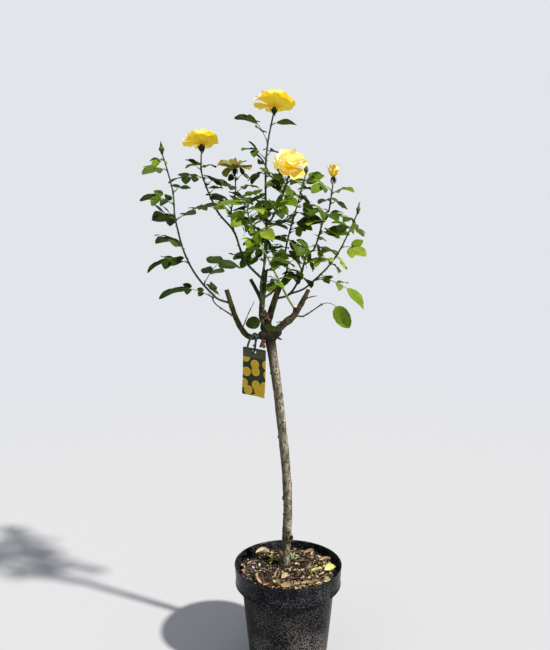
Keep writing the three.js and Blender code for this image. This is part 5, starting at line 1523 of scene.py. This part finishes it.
def growBough(name, bough, seed, look):
    # a tapering tube with a few swellings, its dead spurs, and on one a knobbly front
    heap = emptyHeap()
    stains = list(boughStains[name])
    shares = np.linspace(0, 1, 40)
    girth = tapered(bough["foot"], bough["tip"])(shares)
    rng = np.random.default_rng(seed)
    for spot in rng.uniform(0.15, 0.9, 5):
        girth = girth + rng.uniform(0.3, 0.9) * np.exp(-(((shares - spot) * 100) / 4) ** 2)
    girth[0] *= 1.15
    sweep(heap, curveAt(bough["course"], shares), girth, 20)
    for foot, tip, course in bough["spurs"]:
        sweep(heap, curveAt(course, np.linspace(0, 1, 14)), np.linspace(foot, tip, 14), 10)
    if name == "bough_centre":
        for _ in range(look["callusLumps"]):
            spot = np.array(look["callusMiddle"]) + rng.normal(size=3) * look["callusReach"]
            size = rng.uniform(1.4, 3.2)
            ball(heap, spot, size, 6, 8)
            stains.append((spot, size + 0.4, None, 3))
    return stainSpots(roughened(melted("boughRaw", heap, look["boughVoxel"], 1), 0.75, seed, look), stains)


trunkMaterials = finishes([
    ("trunkBark", (0.05, 0.04, 0.022), (0.52, 0.465, 0.345), {
        "scale": 125, "grain": 0.9, "stretch": (1, 1, 0.45), "roughness": 0.85, "relief": 0.8, "depth": 0.0018,
        "speck": {"scale": 240, "size": 0.4, "amount": 0.8, "colour": (0.05, 0.038, 0.02)},
        "shade": {"from": 0.632, "to": 0.672, "most": 0.93, "colour": (0.014, 0.011, 0.008)},
        # painted shade: faces turned left and to the front darken
        "paintedSideLight": {"way": (-0.8, -0.3, 0), "from": -0.1, "to": 0.9, "most": 0.72, "colour": (0.045, 0.038, 0.022)},
        "specular": 0.15,
    }),
    ("barkScar", (0.006, 0.005, 0.004), (0.05, 0.036, 0.025), {
        "scale": 160, "grain": 0.5, "roughness": 0.9, "relief": 0.8, "depth": 0.0016, "specular": 0.15,
    }),
    ("barkRed", (0.05, 0.02, 0.012), (0.17, 0.065, 0.038), {"grain": 0.4, "relief": 0.6, "depth": 0.0012}),
    ("barkPale", (0.42, 0.36, 0.27), (0.7, 0.63, 0.5), {"grain": 0.3, "relief": 0.5}),
], scale=150, roughness=0.8, specular=0.2)
setDown("trunkBark", growTrunk(barkLook), trunkMaterials, ["trunk"])
cutWood = finishes([
    ("cutDark", (0.010, 0.008, 0.006), (0.045, 0.036, 0.025), {"relief": 0.6}),
    ("cutCream", (0.62, 0.55, 0.38), (0.86, 0.79, 0.6), {
        "grain": 0.3, "roughness": 0.75, "relief": 0.4, "specular": 0.25,
    }),
    ("callusBrown", (0.05, 0.028, 0.02), (0.3, 0.2, 0.15), {"scale": 260, "grain": 0.5, "relief": 0.7}),
], scale=200, grain=0.4, roughness=0.85, specular=0.2)
boughBarks = finishes([
    ("barkOlive", (0.008, 0.008, 0.003), (0.075, 0.07, 0.022), {"scale": 100, "stretch": (1, 1, 0.3)}),
    ("barkGreen", (0.007, 0.012, 0.004), (0.045, 0.065, 0.018), {
        "grain": 0.6, "stretch": (1, 1, 0.25), "roughness": 0.65, "relief": 0.6, "specular": 0.2,
    }),
    ("barkStriped", (0.012, 0.010, 0.004), (0.15, 0.125, 0.045), {"stretch": (1.4, 1.4, 0.16)}),
    ("barkBrown", (0.010, 0.008, 0.004), (0.15, 0.115, 0.055), {
        "scale": 110, "grain": 0.75, "stretch": (1, 1, 0.5), "roughness": 0.85, "relief": 0.8, "depth": 0.0018,
        # painted light: faces turned up lighten
        "paintedSideLight": {"way": (0.2, 0.1, 1), "from": 0.15, "to": 0.95, "most": 0.6, "colour": (0.27, 0.215, 0.1)},
        "specular": 0.12,
    }),
], scale=95, grain=0.7, roughness=0.75, relief=0.7, depth=0.0014, specular=0.15)
for i, (boughName, bough) in enumerate(boughs.items()):
    finish = [boughBarks[bough["tone"]], *cutWood]
    setDown("wood_" + boughName, growBough(boughName, bough, 30 + 7 * i, barkLook), finish, [boughName])


# Fallen leaves and straws on the soil

# leaves that lie where they show: foot x, y, length, bearing, tone (0 cream, 1 tan, 2 pink brown, 3 yellow
# green, 4 brown, 5 grey green, 6 pale yellow), rise, width as a share of the length, curl
litterSpots = [
    (-72, 74, 32, 10, 0, 0.2, 0.52, 0.7), (-42, 60, 24, -70, 3, 0.12, 0.42, 0.5),
    (-35, 42, 18, -30, 3, 0.15, 0.6, 0.3), (-31, 36, 16, -120, 3, 0.1, 0.6, 0.3), (13, 46, 17, 60, 5, 0.9, 0.35, 0.3),
    (15, 43, 14, 5, 5, 0.6, 0.4, 0.4), (10, 47, 16, 115, 5, 1.0, 0.35, 0.3), (12, 40, 12, -30, 5, 0.3, 0.4, 0.4),
    (79, -8, 26, 22, 6, 0.06, 0.74, 0.25), (48, -16, 27, 24, 6, 0.12, 0.62, 0.2), (70, 36, 26, 4, 1, 0.1, 0.5, 0.5),
    (84, 20, 20, 100, 0, 0.05, 0.5, 0.4), (-98, 20, 22, -78, 0, 0.15, 0.4, 0.9), (-92, -4, 18, -100, 2, 0.1, 0.45, 0.8),
    (-50, -64, 28, 112, 2, 0.4, 0.55, 0.9), (-68, -46, 20, 75, 5, 0.35, 0.5, 0.8),
    (-36, -64, 24, -38, 1, 0.1, 0.8, 0.4),
    (-14, -42, 18, 14, 0, 0.25, 0.72, 0.6), (16, -88, 13, 82, 6, 0.15, 0.6, 0.2), (24, -62, 27, -8, 1, 0.05, 0.42, 0.6),
    (46, -58, 25, -14, 1, 0.08, 0.45, 0.5),
    (52, -72, 20, 30, 0, 0.1, 0.5, 0.5), (-16, -78, 25, 8, 1, 0.06, 0.5, 0.6), (8, -70, 18, 40, 0, 0.15, 0.5, 0.5),
    (38, 76, 24, 6, 1, 0.15, 0.4, 0.7), (56, 66, 18, 70, 0, 0.1, 0.5, 0.5), (-30, -76, 20, 160, 2, 0.1, 0.5, 0.6),
    (22, 30, 20, 0, 4, 0.1, 0.5, 0.5), (-32, -40, 36, 68, 0, 0.14, 0.07, 0), (-4, -30, 34, 20, 0, 0.06, 0.06, 0),
    (10, -54, 38, 150, 0, 0.1, 0.06, 0), (60, -30, 30, 100, 0, 0.08, 0.06, 0), (-60, 10, 30, -40, 1, 0.05, 0.06, 0),
    (30, 0, 34, 40, 0, 0.08, 0.06, 0),
]
litterLook = {
    "bits": 460, "straws": 260, "bound": 107, "bitReach": 103, "strawReach": 100, "stemRoom": 18,
    "toneShares": [0.33, 0.25, 0.14, 0.02, 0.23, 0.03],
}


def turnedBack(x, y, way, lengths):
    # what would reach over the rim points the other way
    over = np.hypot(x + way[:, 0] * lengths, y + way[:, 1] * lengths) > litterLook["bound"]
    way[over, :2] *= -1
    return way


def strewLeaves(heap, rng, spots, rows, columns):
    # dry leaves: bowed along, rolled in at the sides, lying at any tilt
    x, y, long, bearing, tone, rise, width, curl = np.array(spots, float).T
    turn, n = np.radians(bearing), len(x)
    along = turnedBack(x, y, np.stack([np.cos(turn), np.sin(turn), rise], -1), long)
    faces = np.stack([rng.uniform(-0.6, 0.6, n), rng.uniform(-0.6, 0.6, n), np.ones(n)], -1)
    faces = unit(faces - unit(along) * np.sum(faces * unit(along), -1, keepdims=True))
    feet = np.stack([x, y, soilHeight(x, y) + 1.2], -1)
    bladeGrid(heap, feet, along, faces, long, long * width, rng.uniform(-0.1, 0.3, n), rng.uniform(0.1, 0.35, n),
              tone.astype(int), rows=rows, columns=columns, curl=curl, rib=False)


def strewLitter(look):
    # the leaves that show, many small bits at random, and straws
    heap, straw = emptyHeap(), emptyHeap()
    rng = np.random.default_rng(33)
    strewLeaves(heap, rng, litterSpots, 12, 7)
    bits = []
    while len(bits) < look["bits"]:
        x, y = rng.uniform(-104, 104, 2)
        thick = 0.16 + 0.84 * ease(-30, 70, x - 0.9 * y)  # denser at the front and right
        if np.hypot(x, y) > look["bitReach"] or np.hypot(x + 7, y - 25) < look["stemRoom"] or rng.random() > thick:
            continue
        tone = rng.choice(6, p=look["toneShares"])
        size = 4 + 11 * rng.random() ** 1.6
        rest = rng.uniform(0, 360), tone, rng.uniform(-0.05, 0.35), rng.uniform(0.18, 0.55), rng.uniform(0, 0.5)
        bits.append((x, y, size, *rest))
    strewLeaves(heap, rng, bits, 5, 3)
    n = look["straws"]
    radius, angle = look["strawReach"] * np.sqrt(rng.random(n)), rng.uniform(0, 2 * math.pi, n)
    x, y = radius * np.cos(angle), radius * np.sin(angle)
    aim = rng.uniform(0, 2 * math.pi, n)
    way = np.stack([np.cos(aim), np.sin(aim), rng.uniform(-0.02, 0.2, n)], -1)
    lengths = rng.uniform(6, 30, n)
    way = turnedBack(x, y, way, lengths)
    bases = np.stack([x, y, soilHeight(x, y) + 0.8], -1)
    hooks = rng.uniform(-0.2, 0.2, (n, 3)) * (1, 1, 0.3)
    for tone, part in enumerate((slice(0, n // 2), slice(n // 2, n))):
        girth = rng.uniform(0.3, 0.75, len(bases[part]))
        thorns(straw, bases[part], way[part], hooks[part], lengths[part], girth, tone)
    return heap, straw


litterHeap, strawHeap = strewLitter(litterLook)
litterMaterials = finishes([
    ("leafCream", (0.46, 0.33, 0.18), (0.76, 0.64, 0.42)),
    ("leafTan", (0.28, 0.17, 0.08), (0.54, 0.39, 0.22)),
    ("leafPinkBrown", (0.28, 0.15, 0.10), (0.55, 0.37, 0.27)),
    ("leafYellowGreen", (0.28, 0.34, 0.04), (0.60, 0.58, 0.13), {
        "grain": 0.2, "roughness": 0.7, "relief": 0.3, "specular": 0.25,
    }),
    ("leafDryBrown", (0.06, 0.034, 0.018), (0.2, 0.12, 0.06), {"grain": 0.3, "roughness": 0.85}),
    ("leafGreyGreen", (0.26, 0.32, 0.14), (0.5, 0.56, 0.32)),
    ("leafPaleYellow", (0.60, 0.58, 0.16), (0.80, 0.76, 0.34), {
        "scale": 90, "grain": 0.15, "roughness": 0.7, "relief": 0.25, "specular": 0.25,
    }),
], scale=110, grain=0.25, roughness=0.8, relief=0.4, specular=0.2)
setDown("fallenLeaves", meshFrom("fallenLeaves", litterHeap), litterMaterials)
strawMaterials = finishes([
    ("strawPale", (0.4, 0.3, 0.17), (0.6, 0.48, 0.3), {"roughness": 0.75}),
    ("strawBrown", (0.12, 0.075, 0.04), (0.28, 0.18, 0.1), {"roughness": 0.8}),
], scale=120, grain=0.2, relief=0.2)
setDown("straws", meshFrom("straws", strawHeap), strawMaterials)


# Hanging label

labelSizes = {
    "width": 57, "length": 106, "thickness": 0.9, "curl": 6, "corner": 2, "columns": 26, "rows": 42,
    "slotWidth": 9, "slotHeight": 5.6, "slotDrop": 7.5, "slotDepth": 30, "turn": -0.5, "tilt": 0.13, "lean": 0.28,
}
strapSizes = {
    "bough": (-72, -1, 688.6), "width": 4.6, "thickness": 0.8, "hang": 32, "tieRadius": 1.5,
    # about the bough: over it, down in front to the left, and through the card's slot
    "loop": [
        (0, 4.7, -31.5), (-4, -2.4, -35), (-10, -6.9, -31.5), (-14, -8.9, -22.5), (-10, -8.9, -8.5), (-3, -8.1, 2.5),
        (1, -0.6, 8.1), (3, 7.5, 2.5), (2, 6.9, -16.5),
    ],
    "tie": [(0, -6.4, 5.5), (5, -8.9, -2.5), (4, -8.9, -11.5), (-3, -6.9, -20.5)],
}
cardLook = {
    "cells": 2.5, "scatter": 0.75, "stretch": (1.0, 1.85, 1.0), "gloss": 0.12,
    # from the middle of each round outwards, to the dark ground
    "stops": [
        (0, (0.52, 0.28, 0.01)), (0.1, (0.82, 0.54, 0.004)), (0.16, (0.34, 0.16, 0.004)),
        (0.24, (0.88, 0.62, 0.008)), (0.31, (0.42, 0.22, 0.004)), (0.42, (0.9, 0.65, 0.012)),
        (0.46, (0.06, 0.035, 0.006)), (0.5, (0.012, 0.02, 0.006)),
    ],
    "bandFrom": 0.80, "band": (0.055, 0.065, 0.02), "edgeFrom": 0.965, "edge": (0.012, 0.018, 0.008),
}


def labelCard(s, strap):
    # a sheet over across and drop that bends forward as it hangs: y = -curl (drop2 + 1.6 across2 drop)
    columns, rows, corner = s["columns"], s["rows"], s["corner"]
    drop = np.linspace(0, 1, rows)[:, None]
    fromEdge = np.minimum(np.minimum(drop, 1 - drop) * s["length"], corner)
    inset = corner - np.sqrt(corner**2 - (corner - fromEdge) ** 2)  # a quarter circle at each corner
    x = np.linspace(-0.5, 0.5, columns) * (s["width"] - 2 * inset)
    share = x / s["width"]
    y = -s["curl"] * (drop**2 + 1.6 * share**2 * drop)
    z = s["slotDrop"] - drop * s["length"] + 0 * x
    front = np.stack([x, y - s["thickness"] / 2, z], -1).reshape(-1, 3)
    face = gridQuads(rows, columns, flip=True)
    count = rows * columns
    edge = np.concatenate([
        np.arange(columns), columns * np.arange(1, rows) + columns - 1,
        count - 1 - np.arange(1, columns), columns * np.arange(rows - 2, 0, -1),
    ])
    after = np.roll(edge, -1)
    rim = np.stack([edge, after, after + count, edge + count], -1)
    heap, slot = emptyHeap(), emptyHeap()
    pour(heap, np.concatenate([front, front + (0, s["thickness"], 0)]),
         np.concatenate([face, face[:, ::-1] + count, rim]))
    corners = np.array(list(np.ndindex(2, 2, 2))) - 0.5
    pour(slot, corners * (s["slotWidth"], s["slotDepth"], s["slotHeight"]),
         [[0, 1, 3, 2], [4, 6, 7, 5], [0, 4, 5, 1], [2, 3, 7, 6], [0, 2, 6, 4], [1, 5, 7, 3]])
    mesh = meshFrom("labelRaw", heap)
    mesh.uv_layers.new(name="card")
    flat = np.stack([share + 0.5, 1 - drop + 0 * share], -1).reshape(-1, 2)
    vertexOf = np.zeros(len(mesh.loops), int)
    mesh.loops.foreach_get("vertex_index", vertexOf)
    mesh.uv_layers["card"].data.foreach_set("uv", flat[vertexOf % count].ravel())
    mesh = cutOut("label", mesh, meshFrom("labelSlot", slot))
    places = readOut(mesh.vertices, "co")
    for axis, angle in (((1, 0, 0), s["lean"]), ((0, 0, 1), s["turn"]), ((0, 1, 0), s["tilt"])):
        places = spin(places, np.array(axis, float), angle)
    places += (np.array(strap["bough"]) - (0, 0, strap["hang"] + clearance)) * 0.001
    mesh.vertices.foreach_set("co", places.ravel())
    mesh.materials.clear()
    mesh.polygons.foreach_set("use_smooth", np.full(len(mesh.polygons), True))
    mesh.set_sharp_from_angle(angle=math.radians(35))
    return mesh


def printedCard(look):
    # on both sides, dark ground with an olive band on top and plain yellow rounds below, read off the UV map
    material, tree, shader = freshMaterial("printedCard", 0.4, 0.25)
    flat = node(tree, "ShaderNodeUVMap", uv_map="card").outputs["UV"]
    stretched = node(tree, "ShaderNodeMapping", {"Vector": flat, "Scale": look["stretch"]}).outputs["Vector"]
    sockets = {"Vector": stretched, "Scale": look["cells"], "Randomness": look["scatter"]}
    cells = node(tree, "ShaderNodeTexVoronoi", sockets, feature="F1", voronoi_dimensions="2D").outputs["Distance"]
    rounds = node(tree, "ShaderNodeValToRGB", {"Fac": cells})
    stops = rounds.color_ramp.elements
    stops[1].position = look["stops"][-1][0]
    for spot, _ in look["stops"][1:-1]:
        stops.new(spot)
    for stop, (_, colour) in zip(stops, look["stops"]):
        stop.color = (*colour, 1)
    height = partOf(tree, flat, "Y")
    colour = rounds.outputs["Color"]
    for part in ("band", "edge"):
        colour = blended(tree, maths(tree, "GREATER_THAN", height, look[part + "From"]), colour, look[part])
    tree.links.new(colour, shader.inputs["Base Color"])
    shader.inputs["Coat Weight"].default_value = look["gloss"]
    return material


def ribbon(heap, path, width, thickness):
    # a flat band along a closed path, its width laid across the path and towards +X
    onward = unit(np.roll(path, -1, axis=0) - np.roll(path, 1, axis=0))
    across = unit(np.array([1.0, 0, 0]) - onward * onward[:, :1])
    through = np.cross(onward, across)
    corners = [(-0.5, -0.5), (0.5, -0.5), (0.5, 0.5), (-0.5, 0.5)]
    rings = np.stack([path + across * a * width + through * b * thickness for a, b in corners], 1)
    pour(heap, rings, gridQuads(len(path) + 1, 4, wrap=True, flip=True) % (4 * len(path)))


def labelStrap(s):
    # the band as a closed loop, and the round end of the tie beside it
    heap = emptyHeap()
    loop, tie = (np.array(s[part]) + s["bough"] for part in ("loop", "tie"))
    ribbon(heap, curveAt([*loop, loop[0]], np.linspace(0, 1, 61))[:-1], s["width"], s["thickness"])
    sweep(heap, curveAt(tie, np.linspace(0, 1, 12)), np.full(12, s["tieRadius"]), 8, 1)
    return meshFrom("labelStrap", heap, sharp=40)


setDown("labelCard", labelCard(labelSizes, strapSizes), [printedCard(cardLook)], ["label_card"])
strapMaterials = finishes([
    ("strapGreen", (0.008, 0.04, 0.014), (0.02, 0.075, 0.025), {"roughness": 0.4}),
    ("tieTeal", (0.01, 0.09, 0.09), (0.02, 0.15, 0.15), {"roughness": 0.35}),
], scale=120, grain=0.1, relief=0.1)
setDown("labelStrap", labelStrap(strapSizes), strapMaterials, ["label_strap"])


print("box of the solids", [round(x, 4) for c in cadBox for x in c])
